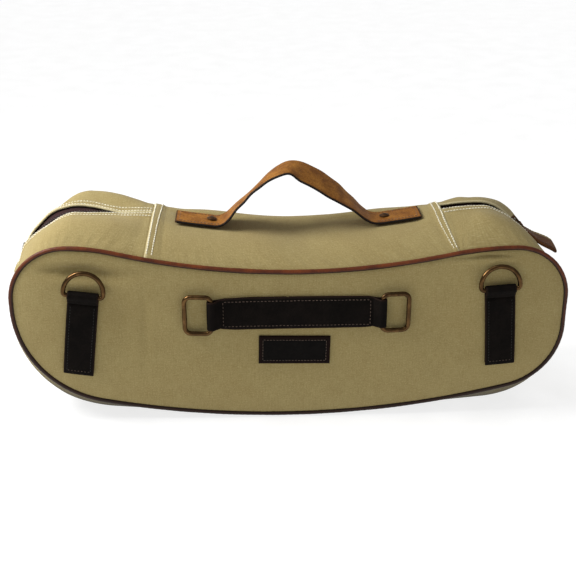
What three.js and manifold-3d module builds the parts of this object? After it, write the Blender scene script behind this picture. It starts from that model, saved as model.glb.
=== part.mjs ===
// Kidney-shaped canvas carry bag, in millimetres: +X to the right along the bag, +Y to the back, +Z up.
// The origin is on the surface that the bag stands on, under the middle of its bottom panel.
import * as THREE from "three";
import { mergeVertices } from "three/addons/utils/BufferGeometryUtils.js";
import Module from "manifold-3d";

const wasm = await Module();
wasm.setup();

// Shell
const HALF_DEPTH = 65; // from the middle of the bag to each piped edge
const CANVAS = 1.5;
const PANEL_THICKNESS = 3; // face canvas with its backing
const FACE_PUFF = 8; // how far the filled bag pushes each face out
const PUFF_REACH = 20; // distance from the edge over which a face rounds off
const PIPING_RADIUS = 2.7;
const SEAM_INSET = 3.4; // canvas ends this far from the piping's centre
const GAP = 0.3; // between pieces that touch
const PATCH_GAP = 0.5; // under leather sewn to the curved face

// Face outline, the centreline of the piping
const RIM = {
  dip: { x: 5.7, z: 154.2, radius: 712 },
  right: { x: 213, z: 124.3, radius: 51, to: 45 },
  left: { x: -212.8, z: 128.3, radius: 52.9, to: 135 },
  sideRight: 264,
  sideLeft: -265.7,
  lowerRight: 73,
  lowerLeft: 112,
  bottom: { x: -3.3, z: 2.8, radius: 890 },
};
// The back face's outline: the same, but drawn in at its right end by the way the bag is filled
const RIM_BACK = { ...RIM, right: { x: 204, z: 122, radius: 50, to: 45 }, sideRight: 254 };
// Outline of the gusset's middle line, where the zips run
const CROWN = {
  dip: { x: 5.7, z: 176.2, radius: 690 },
  right: { x: 183, z: 142.8, radius: 55.4, to: 34 },
  left: { x: -203, z: 138.1, radius: 60.3, to: 163 },
  sideRight: 270.5,
  sideLeft: -272.5,
  shoulder: 110, // height where the sides are widest
  lowerRight: 92,
  lowerLeft: 108,
  bottom: { x: 0, z: -8, radius: 6000 }, // pressed flat on the surface below it
};
// Cross seams where the top panel meets the zip strips: x on the edge outline and on the middle line
const SEAM_LEFT = { rim: -138.5, crown: -134 };
const SEAM_RIGHT = { rim: 158.5, crown: 150 };
// How far the zip strips swell, halfway between the zip and the piping, and where from
const SWELL = { left: { front: 3, back: 11 }, right: { front: 3, back: -2.5 } };
const SWELL_FROM = 0.14; // part of the half depth

// Zips
const SLIT_HALF = 8.5; // half the width that shows between the canvas strips
const TAPE_EDGE = 15;
const TAPE_TOP = 4; // depths under the canvas's outer side
const TAPE_BOTTOM = 4.6;
const TEETH_INNER = 0.9; // the rows stand apart here so that the slider's post can pass
const TEETH_OUTER = 3.4;
const TEETH_TOP = 2.1;
const TEETH_BOTTOM = 3.5;
const SLIDER_LENGTH = 13;
const BAIL_RISE = 1.7; // centre of the pull's pivot above the canvas
const RIGHT_SLIDER_ANGLE = 41.5;
const LEFT_SLIDER_ANGLE = 160;

// Leather and metal fittings
const STRAP_WIDTH = 28.5;
const STRAP_THICKNESS = 3;
const WIRE_RADIUS = 2.25;
const LOOP_OUTER = 4.6;
const LOOP_INNER = 2.75;
const LOOP_HEIGHT = 5.4; // loop's centre above the face
const HANDLE_WIDTH = 32;
const HANDLE_THICKNESS = 4;
const RIVET_HOLE = 1.9;

const rad = THREE.MathUtils.degToRad;
const bag = new THREE.Group();

// Materials
function material(colour, roughness, metalness) {
  return new THREE.MeshStandardMaterial({ color: colour, roughness, metalness });
}
const canvas = material(0x9c8a5c, 0.9, 0);
const tanLeather = material(0x9a6530, 0.6, 0);
const pipingLeather = material(0x6e3720, 0.5, 0);
const darkLeather = material(0x221a17, 0.65, 0);
const zipFabric = material(0x2a1c1a, 0.9, 0);
const bronze = material(0x6b4a2c, 0.35, 1);

function add(name, geometry, finish) {
  const mesh = new THREE.Mesh(geometry, finish);
  mesh.name = name;
  bag.add(mesh);
  return mesh;
}

// Solids: conversion to and from manifold-3d
function toSolid(geometry) {
  const bare = geometry.clone();
  for (const name of Object.keys(bare.attributes)) {
    if (name !== "position") bare.deleteAttribute(name);
  }
  const merged = mergeVertices(bare, 1e-4);
  return new wasm.Manifold(
    new wasm.Mesh({
      numProp: 3,
      vertProperties: merged.attributes.position.array,
      triVerts: new Uint32Array(merged.index.array),
    }),
  );
}
function toGeometry(solid) {
  const mesh = solid.getMesh();
  const geometry = new THREE.BufferGeometry();
  geometry.setAttribute("position", new THREE.BufferAttribute(mesh.vertProperties, 3));
  geometry.setIndex(new THREE.BufferAttribute(mesh.triVerts, 1));
  geometry.computeVertexNormals();
  return geometry;
}
const joined = (first, ...rest) =>
  toGeometry(rest.reduce((sum, g) => sum.add(toSolid(g)), toSolid(first)));
const cut = (first, ...rest) =>
  toGeometry(rest.reduce((sum, g) => sum.subtract(toSolid(g)), toSolid(first)));

// A box of segments whose corners run 0 to 1 in each direction, each vertex moved to shape(u, v, w).
function bentBox(nu, nv, nw, shape) {
  const box = new THREE.BoxGeometry(1, 1, 1, nu, nv, nw);
  const p = box.attributes.position;
  for (let i = 0; i < p.count; i++) {
    const at = shape(p.getX(i) + 0.5, p.getY(i) + 0.5, p.getZ(i) + 0.5);
    p.setXYZ(i, at.x, at.y, at.z);
  }
  return box;
}

// A closed tube: section(a) gives the offset outward and sideways at angle a, frame(t) the line's place.
function closedTube(sides, steps, frame, section) {
  const torus = new THREE.TorusGeometry(2, 1, sides, steps);
  const p = torus.attributes.position;
  for (let i = 0; i < p.count; i++) {
    const around = Math.atan2(p.getY(i), p.getX(i));
    const turn = Math.atan2(p.getZ(i), Math.hypot(p.getX(i), p.getY(i)) - 2);
    const { at, out, side } = frame((around / (2 * Math.PI) + 1) % 1);
    const offset = section(turn);
    const place = at.clone().addScaledVector(out, offset.out).addScaledVector(side, offset.side);
    p.setXYZ(i, place.x, place.y, place.z);
  }
  return torus;
}
const round = (radius) => (a) => ({ out: radius * Math.cos(a), side: radius * Math.sin(a) });

// --- Outlines, in the XZ plane, clockwise from the middle of the top ---
const arc = (x, z, r, from, to) =>
  new THREE.EllipseCurve(x, z, r, r, rad(from), rad(to), to < from);
const line = (x0, z0, x1, z1) =>
  new THREE.LineCurve(new THREE.Vector2(x0, z0), new THREE.Vector2(x1, z1));
const deg = THREE.MathUtils.radToDeg;

// The convex arc between the dip and a corner's top, tangent to both.
function topJoin(dip, corner) {
  const across = Math.abs(corner.x - dip.x);
  const rise = corner.z + corner.radius - dip.z;
  const radius = (across ** 2 - 2 * dip.radius * rise + rise ** 2) / (2 * rise);
  return { radius, angle: deg(Math.asin(across / (radius + dip.radius))) };
}
// The lower corner circle, tangent to the side and to the bottom arc.
function lowerCorner(side, radius, bottom) {
  const x = side - Math.sign(side) * radius;
  const reach = bottom.radius - radius;
  const z = bottom.z + bottom.radius - Math.sqrt(reach ** 2 - (x - bottom.x) ** 2);
  return { x, z, radius, angle: deg(Math.asin((x - bottom.x) / reach)) };
}
function outline(o) {
  const { dip, left, right, bottom, sideRight, sideLeft } = o;
  const joinR = topJoin(dip, right);
  const joinL = topJoin(dip, left);
  const lowR = lowerCorner(sideRight, o.lowerRight, bottom);
  const lowL = lowerCorner(sideLeft, o.lowerLeft, bottom);
  const dipZ = dip.z + dip.radius;
  const bottomZ = bottom.z + bottom.radius;
  const shoulderR = o.shoulder ?? right.z;
  const shoulderL = o.shoulder ?? left.z;
  const end = (c) => arc(c.x, c.z, c.radius, 90, c.to).getPoint(1);
  const sideCorner = (c, x, shoulder) => {
    if (o.shoulder === undefined) return arc(c.x, c.z, c.radius, c.to, x > 0 ? 0 : 180);
    const start = end(c);
    const slope = rad(c.to) - Math.sign(x) * (Math.PI / 2);
    const away = new THREE.Vector2(Math.cos(slope), Math.sin(slope));
    return new THREE.CubicBezierCurve(
      start,
      start.clone().addScaledVector(away, 14),
      new THREE.Vector2(x, shoulder + 30),
      new THREE.Vector2(x, shoulder),
    );
  };
  const reversed = (c) =>
    c.isEllipseCurve
      ? new THREE.EllipseCurve(c.aX, c.aY, c.xRadius, c.yRadius, c.aEndAngle, c.aStartAngle, !c.aClockwise)
      : new THREE.CubicBezierCurve(c.v3, c.v2, c.v1, c.v0);
  return [
    arc(dip.x, dipZ, dip.radius, -90, -90 + joinR.angle),
    arc(right.x, right.z + right.radius - joinR.radius, joinR.radius, 90 + joinR.angle, 90),
    arc(right.x, right.z, right.radius, 90, right.to),
    sideCorner(right, sideRight, shoulderR),
    line(sideRight, shoulderR, sideRight, lowR.z),
    arc(lowR.x, lowR.z, lowR.radius, 0, -90 + lowR.angle),
    arc(bottom.x, bottomZ, bottom.radius, -90 + lowR.angle, -90 + lowL.angle),
    arc(lowL.x, lowL.z, lowL.radius, -90 + lowL.angle, -180),
    line(sideLeft, lowL.z, sideLeft, shoulderL),
    reversed(sideCorner(left, sideLeft, shoulderL)),
    arc(left.x, left.z, left.radius, left.to, 90),
    arc(left.x, left.z + left.radius - joinL.radius, joinL.radius, 90, 90 - joinL.angle),
    arc(dip.x, dipZ, dip.radius, -90 - joinL.angle, -90),
  ];
}
const rim = outline(RIM);
const rimBack = outline(RIM_BACK);
const crown = outline(CROWN);
function onOutline(curves, u) {
  const turn = ((u % curves.length) + curves.length) % curves.length;
  const i = Math.floor(turn);
  return curves[i].getPoint(turn - i);
}
// The place on the top of an outline, as a parameter from -2 to 2, where it has this x.
function topParameter(curves, x) {
  let low = -2;
  let high = 2;
  for (let i = 0; i < 40; i++) {
    const middle = (low + high) / 2;
    if (onOutline(curves, middle).x < x) low = middle;
    else high = middle;
  }
  return (low + high) / 2;
}

// Stations round the gusset, clockwise from the left cross seam. Each has its parameter on the crown and on
// the front and back rims.
const COUNT = rim.length;
const seamStation = (seam, turns = 0) => ({
  crown: turns + topParameter(crown, seam.crown),
  front: turns + topParameter(rim, seam.rim),
  back: turns + topParameter(rimBack, seam.rim),
});
const STATIONS = [
  seamStation(SEAM_LEFT),
  seamStation(SEAM_RIGHT),
  ...[2, 3, 3.5, 4, 5, 6, 7, 8, 9, 9.5, 10, 11].map((u) => ({ crown: u, front: u, back: u })),
  seamStation(SEAM_LEFT, COUNT),
];
const TOP = [0, 1];
const RIGHT_ZIP = [1, 4];
const BOTTOM = [4, 11];
const LEFT_ZIP = [11, 14];
const smooth = THREE.MathUtils.smoothstep;

// A point of the gusset's skin, s stations round and v from -1 at the front edge to 1 at the back edge.
function skin(s, v) {
  const i = THREE.MathUtils.clamp(Math.floor(s), 0, STATIONS.length - 2);
  const between = (line) => STATIONS[i][line] + (STATIONS[i + 1][line] - STATIONS[i][line]) * (s - i);
  const edge = v > 0 ? onOutline(rimBack, between("back")) : onOutline(rim, between("front"));
  const middle = onOutline(crown, between("crown"));
  return edge.lerp(middle, 1 - Math.abs(v) ** 3);
}
// How far the skin swells at s, on the front or the back half.
function swelling(s, v) {
  const half = v < 0 ? "front" : "back";
  const onRight = smooth(s, 1, 2.2) * (1 - smooth(s, 2.5, 4));
  const onLeft = smooth(s, 12.3, 13.1) * (1 - smooth(s, 13.4, 14));
  const across = Math.max(Math.abs(v) - SWELL_FROM, 0) / (1 - SWELL_FROM);
  return (SWELL.right[half] * onRight + SWELL.left[half] * onLeft) * Math.sin(Math.PI * across) ** 2;
}
// The same point with the strips' swelling, pressed flat at the bottom, and sunk to a depth under the skin.
function gusset(s, y, depth) {
  const v = y / HALF_DEPTH;
  const here = skin(s, v);
  const step = 1e-3;
  const ahead = skin(s + step, v).sub(skin(s - step, v)).normalize();
  const outX = -ahead.y;
  const outZ = ahead.x;
  const swell = swelling(s, v);
  const x = here.x + outX * swell;
  const z = Math.max(here.y + outZ * swell, 0);
  return new THREE.Vector3(x - outX * depth, y, z - outZ * depth);
}
// Stations passed in one millimetre along the gusset's middle line.
const perMillimetre = (s) => 0.02 / gusset(s - 0.01, 0, 0).distanceTo(gusset(s + 0.01, 0, 0));
// A curved strip of the gusset between two stations, two depths and two lines y0(s) and y1(s).
function strip([from, to], nu, nv, y0, y1, top, bottom, trim = 0.5) {
  const start = from + trim * perMillimetre(from + 0.01);
  const end = to - trim * perMillimetre(to - 0.01);
  const at = (value, s) => (typeof value === "function" ? value(s) : value);
  return bentBox(nu, nv, 1, (u, v, w) => {
    const s = start + (end - start) * u;
    return gusset(s, at(y0, s) + (at(y1, s) - at(y0, s)) * v, bottom + (top - bottom) * w);
  });
}

// --- Faces ---
const RIM_STEPS = 240;
const rimPoints = (curves) => Array.from({ length: RIM_STEPS }, (_, i) => onOutline(curves, (i * COUNT) / RIM_STEPS));
const FACES = {
  front: { curves: rim, points: rimPoints(rim), side: -1 },
  back: { curves: rimBack, points: rimPoints(rimBack), side: 1 },
};
const fromRim = (face, x, z) => Math.min(...FACES[face].points.map((q) => Math.hypot(q.x - x, q.y - z)));
const puff = (face, x, z) => FACE_PUFF * (1 - Math.exp(-fromRim(face, x, z) / PUFF_REACH));
// A point at a height above the front face's skin.
const onFace = (x, z, height) => new THREE.Vector3(x, -HALF_DEPTH - puff("front", x, z) - height, z);

for (const face of Object.values(FACES)) {
  face.path = new THREE.CurvePath();
  face.path.curves = face.curves;
}
function rimFrame(face, t, y) {
  const p = FACES[face].path.getPointAt(t);
  const along = FACES[face].path.getTangentAt(t);
  return {
    at: new THREE.Vector3(p.x, y, p.y),
    out: new THREE.Vector3(-along.y, 0, along.x),
    side: new THREE.Vector3(0, 1, 0),
  };
}
function facePanel(face) {
  const { side } = FACES[face];
  const radii = [0, 0.5, 0.8, 0.93, 1];
  const profile = [
    ...radii.map((r) => new THREE.Vector2(r, 1)),
    ...radii.toReversed().map((r) => new THREE.Vector2(r, 0)),
  ];
  const disc = new THREE.LatheGeometry(profile, 48);
  const p = disc.attributes.position;
  for (let i = 0; i < p.count; i++) {
    const r = Math.hypot(p.getX(i), p.getZ(i));
    const t = (Math.atan2(p.getX(i), p.getZ(i)) / (2 * Math.PI) + 1) % 1;
    const { at, out } = rimFrame(face, t, 0);
    const edge = at.addScaledVector(out, -SEAM_INSET);
    const spineX = edge.x * 0.72;
    const spine = new THREE.Vector3(spineX, 0, 78.6 + 25 * (spineX / 200) ** 2);
    const place = spine.lerp(edge, r);
    const depth = PANEL_THICKNESS * (1 - p.getY(i));
    p.setXYZ(i, place.x, side * (HALF_DEPTH + puff(face, place.x, place.z) - depth), place.z);
  }
  if (side > 0) disc.index.array.reverse();
  add(`${face}_panel`, disc, canvas);
}
function edging(face) {
  const { side } = FACES[face];
  const y = side * HALF_DEPTH;
  add(`${face}_piping`, closedTube(5, 72, (t) => rimFrame(face, t, y), round(PIPING_RADIUS)), pipingLeather);
  const binding = { inset: 9.5, half: 4.5, y: side * 60.4, halfThickness: 1.3 };
  const flat = (a) => ({
    out: -binding.inset + Math.sign(Math.cos(a)) * binding.half,
    side: Math.sign(Math.sin(a)) * binding.halfThickness,
  });
  const quarter = (a) => flat(a + Math.PI / 4);
  add(`${face}_seam_binding`, closedTube(4, 60, (t) => rimFrame(face, t, binding.y), quarter), canvas);
}
for (const face of Object.keys(FACES)) {
  facePanel(face);
  edging(face);
}

// --- Gusset ---
const EDGE = HALF_DEPTH - SEAM_INSET;
add("bottom_panel", strip(BOTTOM, 44, 6, -EDGE, EDGE, 0, CANVAS), canvas);

// Half the slit's width: wide over the zip, drawn together beside the left cross seam.
const slitHalf = (s) => (s > 7.5 ? SLIT_HALF - 6 * smooth(s, 13.1, 13.8) : SLIT_HALF - 1.5);

function zip(side, span) {
  const slit = (sign) => (s) => sign * slitHalf(s);
  const halves = { front: -1, back: 1 };
  for (const [half, sign] of Object.entries(halves)) {
    const lines = sign < 0 ? [-EDGE, slit(-1)] : [slit(1), EDGE];
    add(`${side}_zip_${half}_strip`, strip(span, 20, 3, ...lines, 0, CANVAS), canvas);
    const tape = sign < 0 ? [-TAPE_EDGE, -TEETH_INNER] : [TEETH_INNER, TAPE_EDGE];
    add(`${side}_zip_${half}_tape`, strip(span, 20, 1, ...tape, TAPE_TOP, TAPE_BOTTOM, 1), zipFabric);
    const teeth = sign < 0 ? [-TEETH_OUTER, -TEETH_INNER] : [TEETH_INNER, TEETH_OUTER];
    add(`${side}_zip_${half}_teeth`, strip(span, 20, 1, ...teeth, TEETH_TOP, TEETH_BOTTOM, 7), zipFabric);
  }
}
zip("right", RIGHT_ZIP);
zip("left", LEFT_ZIP);

// A block in the polar frame of a zip's corner arc: along its run, across it, and out from the zip line.
function arcBlock(corner, angle, along, across, out, steps = 4) {
  return bentBox(steps, 1, 1, (u, v, w) => {
    const offset = along[0] + (along[1] - along[0]) * u;
    const a = rad(angle) - offset / corner.radius;
    const r = corner.radius + out[0] + (out[1] - out[0]) * w;
    const y = across[0] + (across[1] - across[0]) * v;
    return new THREE.Vector3(corner.x + r * Math.cos(a), y, corner.z + r * Math.sin(a));
  });
}
// A slider: plates above and under the teeth, the post between the rows, side lips, and a bail for the pull.
function slider(name, corner, angle) {
  const half = SLIDER_LENGTH / 2;
  const block = (along, across, out) => arcBlock(corner, angle, along, across, out);
  const plates = [
    block([-half, half], [-5.2, 5.2], [-1.6, -0.4]),
    block([-half, half], [-4.4, 4.4], [-6.4, -5]),
    block([2.5, 5], [-0.55, 0.55], [-5.5, -1]),
    block([-half, half], [-5.2, -4.2], [-2.9, -1]),
    block([-half, half], [4.2, 5.2], [-2.9, -1]),
    block([-4.2, -2.4], [-1.2, 1.2], [-1, 4]),
    block([2.4, 4.2], [-1.2, 1.2], [-1, 4]),
    block([-4.2, 4.2], [-1.2, 1.2], [3.2, 4.4]),
  ];
  add(name, joined(...plates), bronze);
}
slider("right_zip_slider", CROWN.right, RIGHT_SLIDER_ANGLE);
slider("left_zip_slider", CROWN.left, LEFT_SLIDER_ANGLE);

// Where a slider's pull turns.
function pullPivot(corner, angle) {
  const r = corner.radius + BAIL_RISE;
  return new THREE.Vector3(corner.x + r * Math.cos(rad(angle)), 0, corner.z + r * Math.sin(rad(angle)));
}
// Turns a geometry drawn along +X so that it points at an angle above +X, from a pivot.
function aim(geometry, pivot, angle) {
  return geometry.rotateY(-rad(angle)).translate(pivot.x, pivot.y, pivot.z);
}
function closedPath(path) {
  return (t) => {
    const p = path.getPointAt(t);
    const along = path.getTangentAt(t);
    return {
      at: new THREE.Vector3(p.x, p.y, 0),
      out: new THREE.Vector3(along.y, -along.x, 0),
      side: new THREE.Vector3(0, 0, 1),
    };
  };
}
function roundedRectangle(x0, y0, x1, y1, r) {
  const path = new THREE.Path();
  path.moveTo(x0 + r, y0);
  path.lineTo(x1 - r, y0);
  path.absarc(x1 - r, y0 + r, r, -Math.PI / 2, 0, false);
  path.lineTo(x1, y1 - r);
  path.absarc(x1 - r, y1 - r, r, 0, Math.PI / 2, false);
  path.lineTo(x0 + r, y1);
  path.absarc(x0 + r, y1 - r, r, Math.PI / 2, Math.PI, false);
  path.lineTo(x0, y0 + r);
  path.absarc(x0 + r, y0 + r, r, Math.PI, 1.5 * Math.PI, false);
  return path;
}

// Right pull: a wire link through the bail and a flared leather tab folded over the link.
const RIGHT_PULL_ANGLE = -35.5;
const LINK = { length: 9.5, half: 5.5, wire: 0.75, corner: 2 };
const TAB = { root: 7.8, end: 50, rootHalf: 4, endHalf: 14.5, halfThickness: 1.9 };
{
  const pivot = pullPivot(CROWN.right, RIGHT_SLIDER_ANGLE);
  const frame = closedPath(roundedRectangle(0, -LINK.half, LINK.length, LINK.half, LINK.corner));
  const link = closedTube(5, 20, frame, round(LINK.wire));
  add("right_zip_pull_link", aim(link, pivot, RIGHT_PULL_ANGLE), bronze);
  const tab = bentBox(10, 2, 1, (u, v, w) => {
    const x = TAB.root + (TAB.end - TAB.root) * u;
    const half = TAB.rootHalf + (TAB.endHalf - TAB.rootHalf) * Math.min(1, u * 1.6) ** 0.7;
    return new THREE.Vector3(x, (2 * v - 1) * half, (2 * w - 1) * TAB.halfThickness);
  });
  const slot = new THREE.BoxGeometry(2.4, 2 * LINK.half + 4, 2.2).translate(LINK.length - 0.1, 0, 0);
  const mouth = new THREE.BoxGeometry(4, 20, 2.2).translate(LINK.length - 3.1, 0, 0);
  add("right_zip_pull_tab", aim(cut(tab, slot, mouth), pivot, RIGHT_PULL_ANGLE), tanLeather);
}
// Left pull: a plain metal tongue with an eye round the bail.
const LEFT_PULL_ANGLE = -112;
{
  const pivot = pullPivot(CROWN.left, LEFT_SLIDER_ANGLE);
  const blade = new THREE.BoxGeometry(24, 6.6, 1.2).translate(10.8, 0, 0);
  const eye = new THREE.BoxGeometry(5.4, 3.4, 4).translate(2.5, 0, 0);
  add("left_zip_pull", aim(cut(blade, eye), pivot, LEFT_PULL_ANGLE), bronze);
}
// Metal stops clamped over both tapes at each end of a zip.
function stop(name, end, inward) {
  const block = (y0, y1, top, bottom) =>
    bentBox(1, 1, 1, (u, v, w) => {
      const along = inward > 0 ? 2.5 + 3 * u : -5.5 + 3 * u;
      const s = end + along * perMillimetre(end + 0.03 * inward);
      return gusset(s, y0 + (y1 - y0) * v, bottom + (top - bottom) * w);
    });
  const pieces = [block(-3.6, 3.6, 2, TAPE_TOP - 0.5), block(-0.6, 0.6, 3, 6), block(-3.6, 3.6, TAPE_BOTTOM + 0.5, 6)];
  add(name, joined(...pieces), bronze);
}

// --- Handle ---
// Its centreline: flat ends riveted down, and an arch that has softened to one side.
const HANDLE = { leftEnd: -111, splitLeft: -57, splitRight: 72, rightEnd: 129 };
const topParam = (x) => topParameter(crown, x);
const crownTop = (x) => onOutline(crown, topParam(x)).y;
const BASE_RISE = HANDLE_THICKNESS / 2 + 0.5; // the flat ends' centreline above the canvas
const flatPoints = (...xs) => xs.map((x) => [x, crownTop(x) + BASE_RISE]);
const handlePoints = [
  ...flatPoints(HANDLE.leftEnd, -100, -90, -80, -71),
  [-63, crownTop(-63) + 6],
  [-50, 199],
  [-38.4, 210],
  [-20.6, 226.5],
  [-9, 234],
  [1, 236.5],
  [14, 231.5],
  [32, 221.2],
  [61, 199.8],
  [74, crownTop(74) + 9],
  [81, crownTop(81) + 4.2],
  ...flatPoints(89, 99, 109, 119, HANDLE.rightEnd),
];
const handleLine = new THREE.CatmullRomCurve3(
  handlePoints.map(([x, z]) => new THREE.Vector3(x, 0, z)),
  false,
  "centripetal",
);
// The handle's parameter at a given x.
function handleParameter(x) {
  let [low, high] = [0, 1];
  for (let i = 0; i < 40; i++) {
    const middle = (low + high) / 2;
    if (handleLine.getPoint(middle).x < x) low = middle;
    else high = middle;
  }
  return (low + high) / 2;
}
function handlePiece(fromX, toX, steps) {
  const [from, to] = [handleParameter(fromX), handleParameter(toX)];
  return bentBox(steps, 1, 1, (u, v, w) => {
    const t = from + (to - from) * u;
    const p = handleLine.getPoint(t);
    const along = handleLine.getTangent(t);
    const height = ((w - 0.5) * HANDLE_THICKNESS) / along.x;
    return new THREE.Vector3(p.x, (v - 0.5) * HANDLE_WIDTH, p.z + height);
  });
}
add("handle_grip", handlePiece(HANDLE.splitLeft, HANDLE.splitRight, 24), tanLeather);

// A cylinder across the top panel at x, along the skin's normal, between two heights over the skin.
function peg(x, radius, low, high, sides = 12) {
  const u = topParam(x);
  const along = onOutline(crown, u + 1e-3).sub(onOutline(crown, u - 1e-3)).normalize();
  const base = onOutline(crown, u);
  const tilt = Math.atan2(along.y, along.x);
  return new THREE.CylinderGeometry(radius, radius, high - low, sides)
    .rotateX(Math.PI / 2)
    .translate(0, 0, (low + high) / 2)
    .rotateY(-tilt)
    .translate(base.x, 0, base.y);
}
const RIVETS = { left: -77, right: 95 };
const toTopStation = (x) => {
  const ends = [STATIONS[0].crown, STATIONS[1].crown];
  return (topParam(x) - ends[0]) / (ends[1] - ends[0]);
};
function handleEnd(side, fromX, toX) {
  const x = RIVETS[side];
  const hole = (low, high) => peg(x, RIVET_HOLE, low, high);
  add(`handle_${side}_end`, cut(handlePiece(fromX, toX, 10), hole(-3, 12)), tanLeather);
  const span = [toTopStation(x - 22), toTopStation(x + 22)];
  const backing = strip(span, 8, 2, -16, 16, CANVAS + GAP, CANVAS + GAP + 2.2);
  add(`${side}_handle_backing`, cut(backing, hole(-9, 3)), darkLeather);
  const top = BASE_RISE + HANDLE_THICKNESS / 2 + 0.7;
  const shank = peg(x, 1.5, -6.2, top + 0.3);
  add(`${side}_handle_rivet`, joined(shank, peg(x, 4.6, top, top + 1), peg(x, 3.4, top + 0.9, top + 1.7)), bronze);
  const burr = cut(peg(x, 4.4, -5.8, -4.7), peg(x, 1.85, -9, 0));
  add(`${side}_rivet_burr`, burr, bronze);
  return hole(-9, 9);
}
const holes = [
  handleEnd("left", HANDLE.leftEnd, HANDLE.splitLeft - 0.6),
  handleEnd("right", HANDLE.splitRight + 0.6, HANDLE.rightEnd),
];
add("top_panel", cut(strip(TOP, 18, 6, -EDGE, EDGE, 0, CANVAS), ...holes), canvas);
stop("right_zip_inner_stop", RIGHT_ZIP[0], 1);
stop("right_zip_outer_stop", RIGHT_ZIP[1], -1);
stop("left_zip_inner_stop", LEFT_ZIP[1], -1);
stop("left_zip_outer_stop", LEFT_ZIP[0], 1);

// --- Front fittings ---
// A local frame on the front face: right and up along the face at a lean, out from it.
function faceFrame(x, z, lean) {
  const right = new THREE.Vector3(Math.cos(rad(lean)), 0, -Math.sin(rad(lean)));
  const up = new THREE.Vector3(Math.sin(rad(lean)), 0, Math.cos(rad(lean)));
  return { origin: new THREE.Vector3(x, 0, z), right, up };
}
function patch(frame, a0, a1, b0, b1, na, nb, low, high) {
  return bentBox(na, nb, 1, (u, v, w) => {
    const p = frame.origin
      .clone()
      .addScaledVector(frame.right, a0 + (a1 - a0) * u)
      .addScaledVector(frame.up, b0 + (b1 - b0) * v);
    return onFace(p.x, p.z, low + (high - low) * w);
  });
}
// The tube of leather that holds a ring's bar, along the frame's right or up direction.
function loop(centre, direction, length) {
  const shape = new THREE.Shape();
  shape.absarc(0, 0, LOOP_OUTER, 0, 2 * Math.PI, false);
  const bore = new THREE.Path();
  bore.absarc(0, 0, LOOP_INNER, 0, 2 * Math.PI, true);
  shape.holes.push(bore);
  const tube = new THREE.ExtrudeGeometry(shape, { depth: length, bevelEnabled: false, curveSegments: 8 });
  tube.translate(0, 0, -length / 2);
  const turn = new THREE.Quaternion().setFromUnitVectors(new THREE.Vector3(0, 0, 1), direction);
  return tube.applyQuaternion(turn).translate(centre.x, centre.y, centre.z);
}
// A ring drawn flat, its bar on the local X axis and its bow towards local Y, placed at its bar.
function placeRing(geometry, centre, bar, bow) {
  const normal = new THREE.Vector3().crossVectors(bar, bow);
  return geometry.applyMatrix4(new THREE.Matrix4().makeBasis(bar, bow, normal)).translate(centre.x, centre.y, centre.z);
}
const D_RING = { half: 18.5, leg: 4, corner: 3 };
function dRingPath() {
  const { half, leg, corner } = D_RING;
  const path = new THREE.Path();
  path.moveTo(-half + corner, 0);
  path.lineTo(half - corner, 0);
  path.absarc(half - corner, corner, corner, -Math.PI / 2, 0, false);
  path.lineTo(half, leg);
  path.absarc(0, leg, half, 0, Math.PI, false);
  path.lineTo(-half, corner);
  path.absarc(-half + corner, corner, corner, Math.PI, 1.5 * Math.PI, false);
  return path;
}
// A bow that leans back towards the face by an angle.
function leaning(direction, angle) {
  return direction.clone().multiplyScalar(Math.cos(rad(angle))).add(new THREE.Vector3(0, Math.sin(rad(angle)), 0));
}
const RING_LEAN = 5;
function ringStrap(side, x, z, lean, length) {
  const frame = faceFrame(x, z, lean);
  const bar = onFace(x, z, LOOP_HEIGHT);
  const body = patch(frame, -STRAP_WIDTH / 2, STRAP_WIDTH / 2, -length, 0, 3, 10, PATCH_GAP, PATCH_GAP + STRAP_THICKNESS);
  const tube = loop(bar, frame.right, STRAP_WIDTH);
  const bore = new THREE.CylinderGeometry(LOOP_INNER, LOOP_INNER, STRAP_WIDTH + 4, 16);
  bore.applyQuaternion(new THREE.Quaternion().setFromUnitVectors(new THREE.Vector3(0, 1, 0), frame.right));
  bore.translate(bar.x, bar.y, bar.z);
  add(`${side}_ring_strap`, cut(joined(body, tube), bore), darkLeather);
  const ring = closedTube(6, 26, closedPath(dRingPath()), round(WIRE_RADIUS));
  add(`${side}_d_ring`, placeRing(ring, bar, frame.right, leaning(frame.up, RING_LEAN)), bronze);
}
ringStrap("left", -196, 138, 7.5, 84);
ringStrap("right", 197.3, 138, -4.2, 81);

const CENTRE = { z: 116, left: -77, right: 85.2, width: 32.5, barHalf: 18.75, reach: 25.5 };
{
  const frame = faceFrame(0, CENTRE.z, 0);
  const half = CENTRE.width / 2;
  const body = patch(frame, CENTRE.left, CENTRE.right, -half, half, 14, 3, PATCH_GAP, PATCH_GAP + STRAP_THICKNESS);
  const up = new THREE.Vector3(0, 0, 1);
  const pieces = [];
  const bores = [];
  for (const [side, sign] of [["left", -1], ["right", 1]]) {
    const bar = onFace(CENTRE[side], CENTRE.z, LOOP_HEIGHT);
    pieces.push(loop(bar, up, STRAP_WIDTH));
    const bore = new THREE.CylinderGeometry(LOOP_INNER, LOOP_INNER, CENTRE.width + 6, 16);
    bores.push(bore.rotateX(Math.PI / 2).translate(bar.x, bar.y, bar.z));
    const path = roundedRectangle(-CENTRE.barHalf, 0, CENTRE.barHalf, CENTRE.reach, 3.5);
    const ring = closedTube(6, 28, closedPath(path), round(WIRE_RADIUS));
    const bow = leaning(new THREE.Vector3(sign, 0, 0), RING_LEAN - 1);
    const barLine = new THREE.Vector3(0, 0, -sign);
    add(`${side}_loop_ring`, placeRing(ring, bar, barLine, bow), bronze);
  }
  add("centre_strap", cut(joined(body, ...pieces), ...bores), darkLeather);
}
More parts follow.
